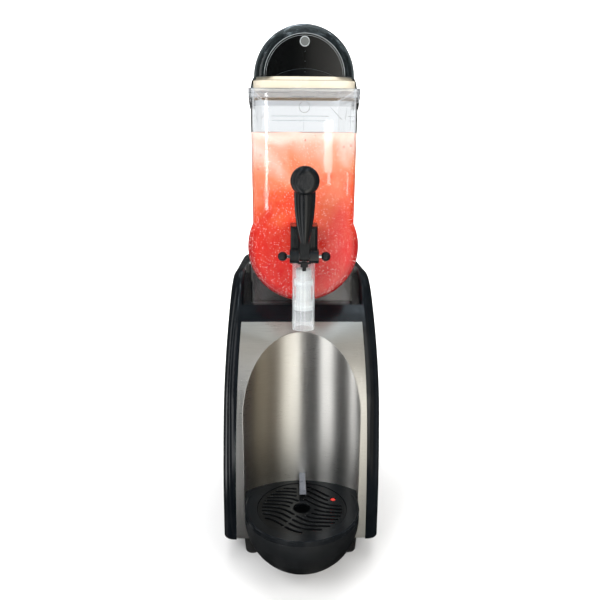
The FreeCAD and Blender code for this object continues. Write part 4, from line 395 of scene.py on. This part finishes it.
def slush():
    half = slush_outline()
    ring = [(-x, z) for x, z in reversed(half[1:])] + half
    stations = slush_stations()
    count, last = len(ring), len(stations) - 1
    verts = [slush_point(x, y, z, inset) for y, inset in stations for x, z in ring]
    faces = [(a, a + count, a + count + 1, a + 1)
             for s in range(last) for a in range(s * count, (s + 1) * count - 1)]
    rows = []
    for s, (y, inset) in enumerate(stations):
        left, right = s * count, (s + 1) * count - 1
        start, end = verts[left][0], verts[right][0]
        row = [left]
        for k in range(1, TOP_STEPS):
            x = start + (end - start) * k / TOP_STEPS
            verts.append((x, y, slush_height(x, y)))
            row.append(len(verts) - 1)
        rows.append(row + [right])
    for near, far in zip(rows, rows[1:]):
        faces += [(near[k], near[k + 1], far[k + 1], far[k]) for k in range(TOP_STEPS)]
    faces.append(tuple(range(count)) + tuple(reversed(rows[0][1:-1])))
    faces.append(tuple(reversed(range(last * count, (last + 1) * count))) + tuple(rows[-1][1:-1]))
    return make("slush", verts, faces, slush_material(), "cabinet", True, ["slush_fill"])


slush()


# Grate with wave slots

GRATE_Y = -164.0
GRATE_TOP = 126.0
GRATE_RADIUS = 69.0
GRATE_HOLE = 13.3
GRATE_EDGE = 0.75
GRATE_HALF_SHEET = 0.9
FLOAT_X = 49.7
FLOAT_Y = 24.0
FLOAT_HOLE = 4.8
SLOT_HALF = 2.1
SLOT_PITCH = 8.4
SLOT_ROWS = 12
SLOT_BORDER = 6.5
SLOT_HOLE_LAND = 5.0
SLOT_FLOAT_LAND = 3.2
SLOT_SHORTEST = 9.0
SLOT_STEP = 1.2
WAVE_SWING = 21.0
WAVE_LEAN = 0.74
SPOUT_LAND_Y = 24.0
SPOUT_LAND_HALF = 9.5
BRIDGE_FROM_Y = -10.0
BRIDGE_SLOPE = 0.62
BRIDGE_X = 1.0
BRIDGE_HALF = 4.0


def wave_y(x, row):
    """Distance of a slot's middle line from the grate's middle: an S that leans with the row."""
    return row - WAVE_SWING * math.tanh((x - WAVE_LEAN * row) / WAVE_SWING)


def slot_at(x, y):
    """Whether a slot may run through this place: off the rim, hole, float, spout and bridge."""
    reach = math.hypot(x, y)
    if not GRATE_HOLE + SLOT_HOLE_LAND + SLOT_HALF < reach < GRATE_RADIUS - SLOT_BORDER - SLOT_HALF:
        return False
    if math.hypot(x - FLOAT_X, y - FLOAT_Y) <= FLOAT_HOLE + SLOT_FLOAT_LAND + SLOT_HALF:
        return False
    if y > SPOUT_LAND_Y and abs(x) < SPOUT_LAND_HALF:
        return False
    return not (y < BRIDGE_FROM_Y and abs(x - BRIDGE_SLOPE * y - BRIDGE_X) < BRIDGE_HALF)


def slot_runs(row):
    """Unbroken stretches of one row, in points 0.1 mm apart."""
    runs, run = [], []
    for k in range(-700, 701):
        x = k * 0.1
        y = wave_y(x, row)
        if slot_at(x, y):
            run.append((x, y))
        elif run:
            runs.append(run)
            run = []
    return runs + [run] if run else runs


def slot_cap(end, before):
    """Round end of a slot."""
    angle = math.atan2(end[1] - before[1], end[0] - before[0])
    return [(end[0] + SLOT_HALF * math.cos(angle + t), end[1] + SLOT_HALF * math.sin(angle + t))
            for t in (1.0, 0.5, 0.0, -0.5, -1.0)]


def slot_loop(run, length):
    step = max(1, int(len(run) / (length / SLOT_STEP)))
    line = run[::step]
    if line[-1] != run[-1]:
        line.append(run[-1])
    upper, lower = [], []
    for i, (x, y) in enumerate(line):
        ax, ay = line[max(i - 1, 0)]
        bx, by = line[min(i + 1, len(line) - 1)]
        span = math.hypot(bx - ax, by - ay)
        nx, ny = -(by - ay) / span, (bx - ax) / span
        wide = SLOT_HALF * (0.86 + 0.14 * abs(ny))
        upper.append((x + nx * wide, y + ny * wide))
        lower.append((x - nx * wide, y - ny * wide))
    return upper + slot_cap(line[-1], line[-2]) + list(reversed(lower)) + slot_cap(line[0], line[1])


def circle(cx, cy, radius, count):
    return [(cx + radius * math.cos(2 * math.pi * k / count), cy + radius * math.sin(2 * math.pi * k / count))
            for k in range(count)]


def grate_loops():
    loops = [circle(0, 0, GRATE_RADIUS, 160), circle(0, 0, GRATE_HOLE, 64),
             circle(FLOAT_X, FLOAT_Y, FLOAT_HOLE, 32)]
    for index in range(-SLOT_ROWS, SLOT_ROWS + 1):
        for run in slot_runs(index * SLOT_PITCH):
            length = sum(math.dist(a, b) for a, b in zip(run, run[1:]))
            if length >= SLOT_SHORTEST:
                loops.append(slot_loop(run, length))
    return loops


def grate():
    curve = bpy.data.curves.new("grate", "CURVE")
    curve.dimensions = "2D"
    curve.fill_mode = "BOTH"
    curve.resolution_u = 1
    for points in grate_loops():
        spline = curve.splines.new("POLY")
        spline.points.add(len(points) - 1)
        for point, (x, y) in zip(spline.points, points):
            point.co = (x * MM, (y + GRATE_Y) * MM, 0, 1)
        spline.use_cyclic_u = True
    curve.extrude = GRATE_HALF_SHEET * MM
    curve.bevel_depth = GRATE_EDGE * MM
    curve.bevel_resolution = 2
    curve.offset = -GRATE_EDGE * MM
    temp = bpy.data.objects.new("grate_curve", curve)
    scene.collection.objects.link(temp)
    bpy.context.view_layer.update()
    mesh = bpy.data.meshes.new_from_object(temp)
    bpy.data.objects.remove(temp)
    mesh.transform(Matrix.Translation((0, 0, (GRATE_TOP - GRATE_HALF_SHEET - GRATE_EDGE) * MM)))
    mesh.shade_smooth()
    obj = bpy.data.objects.new("grate", mesh)
    scene.collection.objects.link(obj)
    return settle(obj, grate_black, "tray", ["drip_grate"])


grate()


# Dome details, which ride on the lid

FACE_Y = -137.0
BORDER_Y = -134.35
BORDER_RADII = (43.0, 53.2)
BORDER_THICK = 0.3
FACE_EDGE_RADIUS = 53.3
FACE_LINE_RADIUS = 50.9
SHOULDER_RADIUS = 66.95
SHOULDER_Y = -104.0
INSERT_LINE_Y = -134.3
LID_TOP = 757.9
DOME_STEPS = 48
INSERT_ARCH_HALF = 39
INSERT_ARCH_Z = 0.8
INSERT_ARCH_RISE = 9.0
ROD_X = 0.6
ROD_Y = -134.0
ROD_BEAD_Y = -134.9
ROD_BEADS = (789.0, 777.0, 768.5, 764.0)
BOSS_Z = 801.0
BOSS_RING = 5.9
BOSS_RING_Y = -139.75


def bead(name, path, radius, material, body, sides=8):
    """Thin round bead along a path of points, tapered at its ends."""
    verts = []
    count = len(path)
    for k, point in enumerate(path):
        before = Vector(path[max(k - 1, 0)])
        after = Vector(path[min(k + 1, count - 1)])
        along = (after - before).normalized()
        side = along.cross(Vector((0, 1, 0))) if abs(along.y) < 0.9 else along.cross(Vector((0, 0, 1)))
        side.normalize()
        up = along.cross(side)
        thick = radius * min(1.0, 0.35 + min(k, count - 1 - k) * 0.4)
        for m in range(sides):
            turn = 2 * math.pi * m / sides
            verts.append(tuple(Vector(point) + (side * math.cos(turn) + up * math.sin(turn)) * thick))
    faces = [tuple(reversed(range(sides))), tuple(range((count - 1) * sides, count * sides))]
    for k in range(count - 1):
        for m in range(sides):
            n = (m + 1) % sides
            faces.append((k * sides + m, k * sides + n, (k + 1) * sides + n, (k + 1) * sides + m))
    return make(name, verts, faces, material, body, True, ())


def dome_arc(radius, y):
    """Half round over the lid at one depth."""
    return [(radius * math.cos(turn), y, LID_TOP + radius * math.sin(turn))
            for turn in [math.pi * k / DOME_STEPS for k in range(DOME_STEPS + 1)]]


# Light-grey bead material: painted highlights on the dome's edges, arc, rod and ring
painted_highlight_grey = plastic("painted_highlight_grey", (0.34, 0.37, 0.38), 0.12, 0.003, 0.00001).mat
# Pale-blue bead material: a painted highlight on the dome's outer edge
painted_highlight_blue = plastic("painted_highlight_blue", (0.50, 0.64, 0.74), 0.15, 0.003, 0.00001).mat


def dome_border():
    """Dark mask printed round the inside of the face, from the insert out to the edge."""
    inner, outer = (dome_arc(radius, BORDER_Y) for radius in BORDER_RADII)
    verts, faces = [], []
    for a, b in zip(inner, outer):
        for x, y, z in (a, b):
            verts += [(x, y, z), (x, y + BORDER_THICK, z)]
    for k in range(len(inner) - 1):
        a, b = 4 * k, 4 * k + 4
        faces += [(a, a + 2, b + 2, b), (a + 1, b + 1, b + 3, a + 3), (a, b, b + 1, a + 1),
                  (a + 2, a + 3, b + 3, b + 2)]
    last = 4 * (len(inner) - 1)
    faces += [(0, 1, 3, 2), (last, last + 2, last + 3, last + 1)]
    make("dome_border", verts, faces, dark_insert, "lid", False, ())


dome_border()
# painted highlights: real bead geometry coloured light grey along the face edge and the line inside it
bead("dome_face_edge", dome_arc(FACE_EDGE_RADIUS, FACE_Y - 0.05), 0.28, painted_highlight_grey, "lid")
bead("dome_face_line", dome_arc(FACE_LINE_RADIUS, FACE_Y - 0.05), 0.14, painted_highlight_grey, "lid")
# painted highlight: pale-blue bead along the dome's outer shoulder
bead("dome_shoulder_line", dome_arc(SHOULDER_RADIUS, SHOULDER_Y), 1.05, painted_highlight_blue, "lid")
arch = [(x, INSERT_LINE_Y, LID_TOP + INSERT_ARCH_Z + INSERT_ARCH_RISE * (1 - (x / INSERT_ARCH_HALF) ** 2))
        for x in range(-INSERT_ARCH_HALF, INSERT_ARCH_HALF + 1, 3)]
# painted highlight: pale arc over the insert
bead("insert_arch", arch, 0.5, painted_highlight_grey, "lid")
bead("boss_rod", [(ROD_X, ROD_Y, z) for z in range(760, 796, 3)], 0.7, dark_insert, "lid")
# painted glints: pale dots down the boss rod
for spot, height in enumerate(ROD_BEADS):
    dot = [(ROD_X, ROD_BEAD_Y, height + d) for d in (-0.7, -0.35, 0.0, 0.35, 0.7)]
    bead("rod_bead_%d" % spot, dot, 0.8, painted_highlight_grey, "lid")
# painted highlight: pale ring round the boss
ring = [(x, BOSS_RING_Y, BOSS_Z + z) for x, z in circle(0, 0, BOSS_RING, 24) + [(BOSS_RING, 0.0)]]
bead("boss_ring", ring, 0.45, painted_highlight_grey, "lid")


LIP_Y = -161.5
LIP_REACH = 86.3
LIP_TURN = 116
LIP_RADIUS = 1.9


def tray_lip():
    """Polished rounded lip round the open front of the tray."""
    turns = [math.radians(LIP_TURN * (k / 36.0 - 1)) for k in range(73)]
    points = [(LIP_REACH * math.sin(t), LIP_Y - LIP_REACH * math.cos(t), GRATE_TOP) for t in turns]
    bead("tray_lip", points, LIP_RADIUS, gloss_black, "tray", 12)


tray_lip()


# Tap spring, copied with a mesh of its own; on the real tap it shortens as the lever lifts the piston


def spring():
    source = NODES["tap_spring"]
    obj = bpy.data.objects.new("spring_coil", source.data.copy())
    scene.collection.objects.link(obj)
    obj.matrix_world = source.matrix_world.copy()
    bpy.context.view_layer.update()
    settle(obj, chrome_pin, "cabinet", ["tap_spring"])
    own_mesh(obj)


spring()


# Moulded edges of the bowl, seen as fine lines in the clear plastic

EDGE_RADIUS = 0.28
RIM_HALF = 74.8
RIM_FRONT = -142.6
RIM_REAR = 150.0
RIM_CORNER = 9.0
RIM_LINES = ((742.7, 0.0), (731.7, 0.0), (737.3, 0.05))
SIDE_STEPS = 12
TAB_Y = -145.55
TAB = ((-18.0, 742.6), (-18.0, 732.3), (-9.0, 732.3), (9.0, 732.3), (18.0, 732.3), (18.0, 742.6))
KEY_Y = -142.95
KEY_RADIUS = 7.1
KEY_Z = 719.2
KEY_HALF = 3.4
KEY_STEM = (726.2, 731.5)
WALL_Y = -140.05
REAR_Y = 160.4
REAR_RIBS = ((52.0, 714.0), (50.0, 706.0))
edge_clear = clear("edge_clear", (0.62, 0.66, 0.69), 0.05).mat


def rounded_u(half, front, z):
    """Path along one side, round the front and back along the other side."""
    start = front + RIM_CORNER
    side = [RIM_REAR + (start - RIM_REAR) * k / SIDE_STEPS for k in range(SIDE_STEPS + 1)]
    turns = [k * math.pi / 16 for k in range(1, 9)]
    reach = half - RIM_CORNER
    points = [(-half, y, z) for y in side]
    points += [(-reach - RIM_CORNER * math.cos(t), start - RIM_CORNER * math.sin(t), z) for t in turns]
    points += [(reach + RIM_CORNER * math.cos(t), start - RIM_CORNER * math.sin(t), z)
               for t in [math.pi / 2 - t + math.pi / 16 for t in turns]]
    return points + [(half, start + (RIM_REAR - start) * k / SIDE_STEPS, z) for k in range(SIDE_STEPS + 1)]


def bowl_line(name, path, radius=EDGE_RADIUS):
    bead(name, path, radius, edge_clear, "cabinet")


def keyhole():
    """Outline of the keyhole tab under the rim, as (x, z)."""
    low, high = KEY_STEM
    turns = [1.07 - k * 5.28 / 20 for k in range(21)]
    outline = [(-KEY_RADIUS * math.cos(t), KEY_Z + KEY_RADIUS * math.sin(t)) for t in turns]
    return [(-KEY_HALF, high), (-KEY_HALF, low)] + outline + [(KEY_HALF, low), (KEY_HALF, high)]


def bowl_lines():
    for index, (z, grow) in enumerate(RIM_LINES):
        bowl_line("rim_line_%d" % index, rounded_u(RIM_HALF + grow, RIM_FRONT - grow, z))
    bowl_line("tab_line", [(x, TAB_Y, z) for x, z in TAB])
    bowl_line("key_line", [(x, KEY_Y, z) for x, z in keyhole()])
    for index, (half, z) in enumerate(REAR_RIBS):
        bowl_line("rear_rib_%d" % index, [(half * k / 8.0, REAR_Y, z) for k in range(-8, 9)], 0.7)
    bowl_line("seam_line", [(-0.6, WALL_Y - 0.05, 690 + 2.0 * k) for k in range(11)], 0.16)
    for side in (-1, 1):
        corner = [(side * 62.0, WALL_Y, 691 + 4.0 * k) for k in range(10)]
        bowl_line("corner_line_%d" % (side + 1), corner, 0.2)
        brace = [(side * (54.0 + 1.5 * k), 158.0 - 14 * k, 730 - 3.0 * k) for k in range(9)]
        bowl_line("corner_brace_%d" % (side + 1), brace, 0.5)


bowl_lines()


# Steel bead along the cut edge round the cup recess, made paler than the sheet as a painted highlight

ARCH_RADIUS = 143.0
ARCH_MIDDLE = -230.0
ARCH_FRONT = -120.5
ARCH_LOW = 132
ARCH_STRAIGHT = 255.0
ARCH_LEAN = 275.0
ARCH_STEPS = 40
# painted highlight: paler metal than the sheet along the recess edge
painted_highlight_edge = metal("painted_highlight_edge", (0.92, 0.91, 0.88), 0.35).mat


def arch_edge():
    """Up one side, over the arch where the leaning front meets the round recess, and down the other."""
    side = math.sqrt(ARCH_RADIUS ** 2 - (ARCH_FRONT - ARCH_MIDDLE) ** 2)
    heights = list(range(ARCH_LOW, int(ARCH_STRAIGHT) + 1, 6))
    arch = []
    for k in range(1 - ARCH_STEPS, ARCH_STEPS):
        x = side * math.sin(k * math.pi / (2 * ARCH_STEPS))
        y = ARCH_MIDDLE + math.sqrt(ARCH_RADIUS ** 2 - x * x)
        rise = math.sqrt(max(ARCH_LEAN ** 2 - (ARCH_LEAN - (y - ARCH_FRONT)) ** 2, 0.0))
        arch.append((x, y, ARCH_STRAIGHT + rise))
    left = [(-side, ARCH_FRONT, z) for z in heights]
    right = [(side, ARCH_FRONT, z) for z in reversed(heights)]
    bead("arch_edge", left + arch + right, 0.55, painted_highlight_edge, "cabinet")


arch_edge()


# Floor, lights and camera

FLOOR_HALF = 4.0
FLOOR_FRONT = -3.0
FLOOR_BEND_Y = 1.6
FLOOR_BEND = 1.2
BACKDROP_TOP = 4.0


def floor():
    g = Graph("studio_floor", (0.86, 0.86, 0.86), 0.6)
    g.put(Base_Color=g.mix(g.noise(0.6, 2.0), (0.86, 0.86, 0.86), (0.88, 0.88, 0.88)))
    profile = [(FLOOR_FRONT, 0.0), (FLOOR_BEND_Y, 0.0)]
    profile += [(FLOOR_BEND_Y + FLOOR_BEND * math.sin(a), FLOOR_BEND * (1 - math.cos(a)))
                for a in [k * math.pi / 24 for k in range(1, 13)]]
    profile.append((FLOOR_BEND_Y + FLOOR_BEND, BACKDROP_TOP))
    verts = [(x, y, z) for y, z in profile for x in (-FLOOR_HALF, FLOOR_HALF)]
    faces = [(2 * k, 2 * k + 1, 2 * k + 3, 2 * k + 2) for k in range(len(profile) - 1)]
    stage_mesh("studio_floor", verts, faces, g.mat).data.shade_smooth()


def stage_mesh(name, verts, faces, material):
    mesh = bpy.data.meshes.new(name)
    mesh.from_pydata(verts, [], faces)
    mesh.materials.append(material)
    obj = bpy.data.objects.new(name, mesh)
    scene.collection.objects.link(obj)
    return obj


# Name, place, target, width, height, watts and colour
SOFTBOXES = (
    ("key", (-1.2, -1.8, 2.0), (0, 0, 0.40), 1.2, 1.4, 50, (1, 1, 1)),
    ("fill", (1.5, -1.6, 1.5), (0, 0, 0.40), 1.0, 1.6, 34, (1.0, 0.98, 0.94)),
    ("top", (0, 0.2, 2.4), (0, 0.1, 0.4), 1.6, 1.6, 22, (1, 1, 1)),
    ("back", (0, 1.5, 1.7), (0, 2.6, 0.6), 2.6, 1.6, 60, (1, 1, 1)),
)
# Name, both sides, bottom, top and strength
TUBE_LIGHTS = (
    ("tube_left", -0.114, -0.1045, 0.365, 0.833, 16.0),
    ("tube_right", 0.130, 0.163, 0.518, 0.729, 9.0),
    ("tube_right_low", 0.144, 0.156, 0.470, 0.517, 9.0),
    ("tube_far_right", 0.2235, 0.2315, 0.427, 0.522, 7.0),
)
TUBE_Y = -1.9
WORLD_STRENGTH = 0.75


def softbox(name, place, target, wide, tall, power, color):
    """Soft lamp that lights the machine and doesn't show in its reflections."""
    light = bpy.data.lights.new(name, "AREA")
    light.shape = "RECTANGLE"
    light.size = wide
    light.size_y = tall
    light.energy = power
    light.color = color
    obj = bpy.data.objects.new(name, light)
    scene.collection.objects.link(obj)
    obj.location = place
    obj.rotation_mode = "QUATERNION"
    obj.rotation_quaternion = (Vector(target) - Vector(place)).to_track_quat("-Z", "Y")
    obj.visible_camera = False
    obj.visible_glossy = False


CAMERA_PLACE = (-0.0223, -1.0055, 0.6896)
CAMERA_LENS = 37.26
CAMERA_YAW = 1.19
CAMERA_PITCH = 15.3
CAMERA_ROLL = 0.329


def camera():
    """Camera at the photo's viewpoint."""
    data = bpy.data.cameras.new("camera")
    data.lens = CAMERA_LENS
    data.sensor_width = 36.0
    data.clip_start = 0.02
    data.clip_end = 50
    obj = bpy.data.objects.new("camera", data)
    scene.collection.objects.link(obj)
    yaw, pitch, roll = (math.radians(a) for a in (CAMERA_YAW, CAMERA_PITCH, CAMERA_ROLL))
    forward = Vector((math.sin(yaw) * math.cos(pitch), math.cos(yaw) * math.cos(pitch), -math.sin(pitch)))
    right = Vector((math.cos(yaw), -math.sin(yaw), 0.0))
    up = right.cross(forward)
    turned = right * math.cos(roll) + up * math.sin(roll)
    top = up * math.cos(roll) - right * math.sin(roll)
    matrix = Matrix((turned, top, -forward)).transposed().to_4x4()
    matrix.translation = Vector(CAMERA_PLACE)
    obj.matrix_world = matrix
    scene.camera = obj


TENT_SIDES = 72
TENT_RINGS = ((0.02, 0.003), (0.6, 0.006), (1.4, 0.012), (2.2, 0.05), (2.4, 0.6), (2.3, 1.4), (1.9, 2.2),
              (1.1, 2.7), (0.02, 2.9))
TENT_MIDDLE = -0.10
GREY_STRIPS = ((-180, 0.10), (-128, 0.10), (-97, 0.06), (-94, 2.6), (-82, 2.6), (-78, 0.05), (-61, 0.05),
               (-60, 2.2), (-54, 2.2), (-52, 0.06), (-36, 0.08), (-31, 1.90), (-20, 2.00), (-17, 0.08),
               (1, 0.10))
WARM_STRIPS = ((4, (2.00, 1.95, 1.82)), (12, (2.00, 1.94, 1.78)), (21, (1.15, 1.09, 0.96)),
               (27, (0.42, 0.37, 0.30)), (36, (0.24, 0.20, 0.15)), (43, (0.46, 0.40, 0.30)),
               (51, (0.34, 0.29, 0.21)), (57, (0.12, 0.10, 0.08)), (82, (0.06, 0.06, 0.06)),
               (86, (0.50, 0.51, 0.53)), (94, (0.06, 0.06, 0.06)),
               (180, (0.10, 0.10, 0.10)))
HAZE_STRIPS = ((-180, 1.02), (-128, 1.02), (-112, 0.30), (-60, 0.30), (-20, 0.50), (20, 0.50), (60, 0.30),
               (112, 0.30), (128, 1.02), (180, 1.02))


def shell_mesh(low_ring, shrink):
    """Closed shell round the machine, open below its first ring."""
    verts = [(radius * shrink * math.sin(2 * math.pi * k / TENT_SIDES),
              -radius * shrink * math.cos(2 * math.pi * k / TENT_SIDES), z * shrink)
             for radius, z in TENT_RINGS for k in range(TENT_SIDES)]
    faces = []
    for r in range(low_ring, len(TENT_RINGS) - 1):
        for k in range(TENT_SIDES):
            n = (k + 1) % TENT_SIDES
            faces.append((r * TENT_SIDES + k, r * TENT_SIDES + n, (r + 1) * TENT_SIDES + n,
                          (r + 1) * TENT_SIDES + k))
    return verts, faces


def azimuth(g):
    """Angle round the machine from the front, and the same as a share from 0 to 1."""
    turn = g.math("ARCTAN2", g.axis("X"), g.math("SUBTRACT", TENT_MIDDLE, g.axis("Y")))
    return turn, g.span(turn, -math.pi, math.pi)


def at(degrees):
    return (degrees + 180.0) / 360.0


def tent():
    """Shell that only reflections see: strips of soft light and dark cloth by direction on the floor in
    front, dark close by and far off, with broken light overhead."""
    g = Graph("tent_cloth", (0, 0, 0), 1.0, Specular_IOR_Level=0.0)
    turn, share = azimuth(g)
    x, y, z = g.axis("X"), g.axis("Y"), g.axis("Z")
    bands = g.ramp(share, [(at(a), (v, v, v)) for a, v in GREY_STRIPS] + [(at(a), c) for a, c in WARM_STRIPS])
    thread = g.node("TexNoise", noise_dimensions="1D")
    thread.inputs["Scale"].default_value = 70.0
    thread.inputs["Detail"].default_value = 3.0
    g.join(share, thread.inputs["W"])
    streak = g.span(thread.outputs["Fac"], 0.3, 0.7, 0.72, 1.22)
    radius = g.math("SQRT", g.math("ADD", g.math("MULTIPLY", x, x),
                                   g.math("POWER", g.math("SUBTRACT", y, TENT_MIDDLE), 2.0)))
    cloud = g.ramp(g.noise(0.45, 4.0, 0.6, (1, 0.4, 1)),
                   [(0.44, (0.03, 0.04, 0.05)), (0.56, (0.30, 0.36, 0.40)), (0.70, (3.0, 3.5, 3.9))])
    sky = g.span(z, 1.6, 2.5, 0.0, 1.0, True)
    inner = g.span(radius, 0.28, 0.40, 0.05, 1.0, True)
    apron = g.math("MULTIPLY", inner, g.span(radius, 1.5, 2.1, 1.0, 0.6))
    near = g.math("MAXIMUM", apron, sky)
    g.put(Emission_Color=g.mix(sky, bands, cloud), Emission_Strength=g.math("MULTIPLY", streak, near))
    unseen("tent", *shell_mesh(0, 1.0), g.mat, True)


def haze():
    """Shell that only light through the clear plastic sees: pale behind, greyer at the sides."""
    g = Graph("haze_cloth", (0, 0, 0), 1.0, Specular_IOR_Level=0.0)
    share = azimuth(g)[1]
    g.put(Emission_Color=g.ramp(share, [(at(a), (v, v * 1.015, v * 1.03)) for a, v in HAZE_STRIPS]),
          Emission_Strength=1.0)
    unseen("haze", *shell_mesh(2, 0.97), g.mat, False)


def unseen(name, verts, faces, material, glossy):
    """Stage piece that only reflections see where glossy is set, and else only clear plastic."""
    obj = stage_mesh(name, verts, faces, material)
    obj.visible_camera = False
    obj.visible_diffuse = False
    obj.visible_shadow = False
    obj.visible_volume_scatter = False
    obj.visible_glossy = glossy
    obj.visible_transmission = not glossy


def tube_light(name, left, right, low, high, strength):
    """Upright tube light in front of the machine, which shows as a streak on the flat of the bowl."""
    g = Graph(name, (0, 0, 0), 1.0, Emission_Color=(1, 1, 1, 1), Emission_Strength=strength)
    corners = [(x, TUBE_Y, z) for x, z in ((left, low), (right, low), (right, high), (left, high))]
    unseen(name, corners, [(0, 1, 2, 3)], g.mat, True)


floor()
tent()
haze()
for tube in TUBE_LIGHTS:
    tube_light(*tube)
for box in SOFTBOXES:
    softbox(*box)
world = bpy.data.worlds.new("studio")
scene.world = world
world.use_nodes = True
backdrop = world.node_tree.nodes["Background"]
backdrop.inputs["Color"].default_value = (1.0, 1.0, 1.0, 1.0)
backdrop.inputs["Strength"].default_value = WORLD_STRENGTH
scene.view_settings.view_transform = "Standard"
camera()
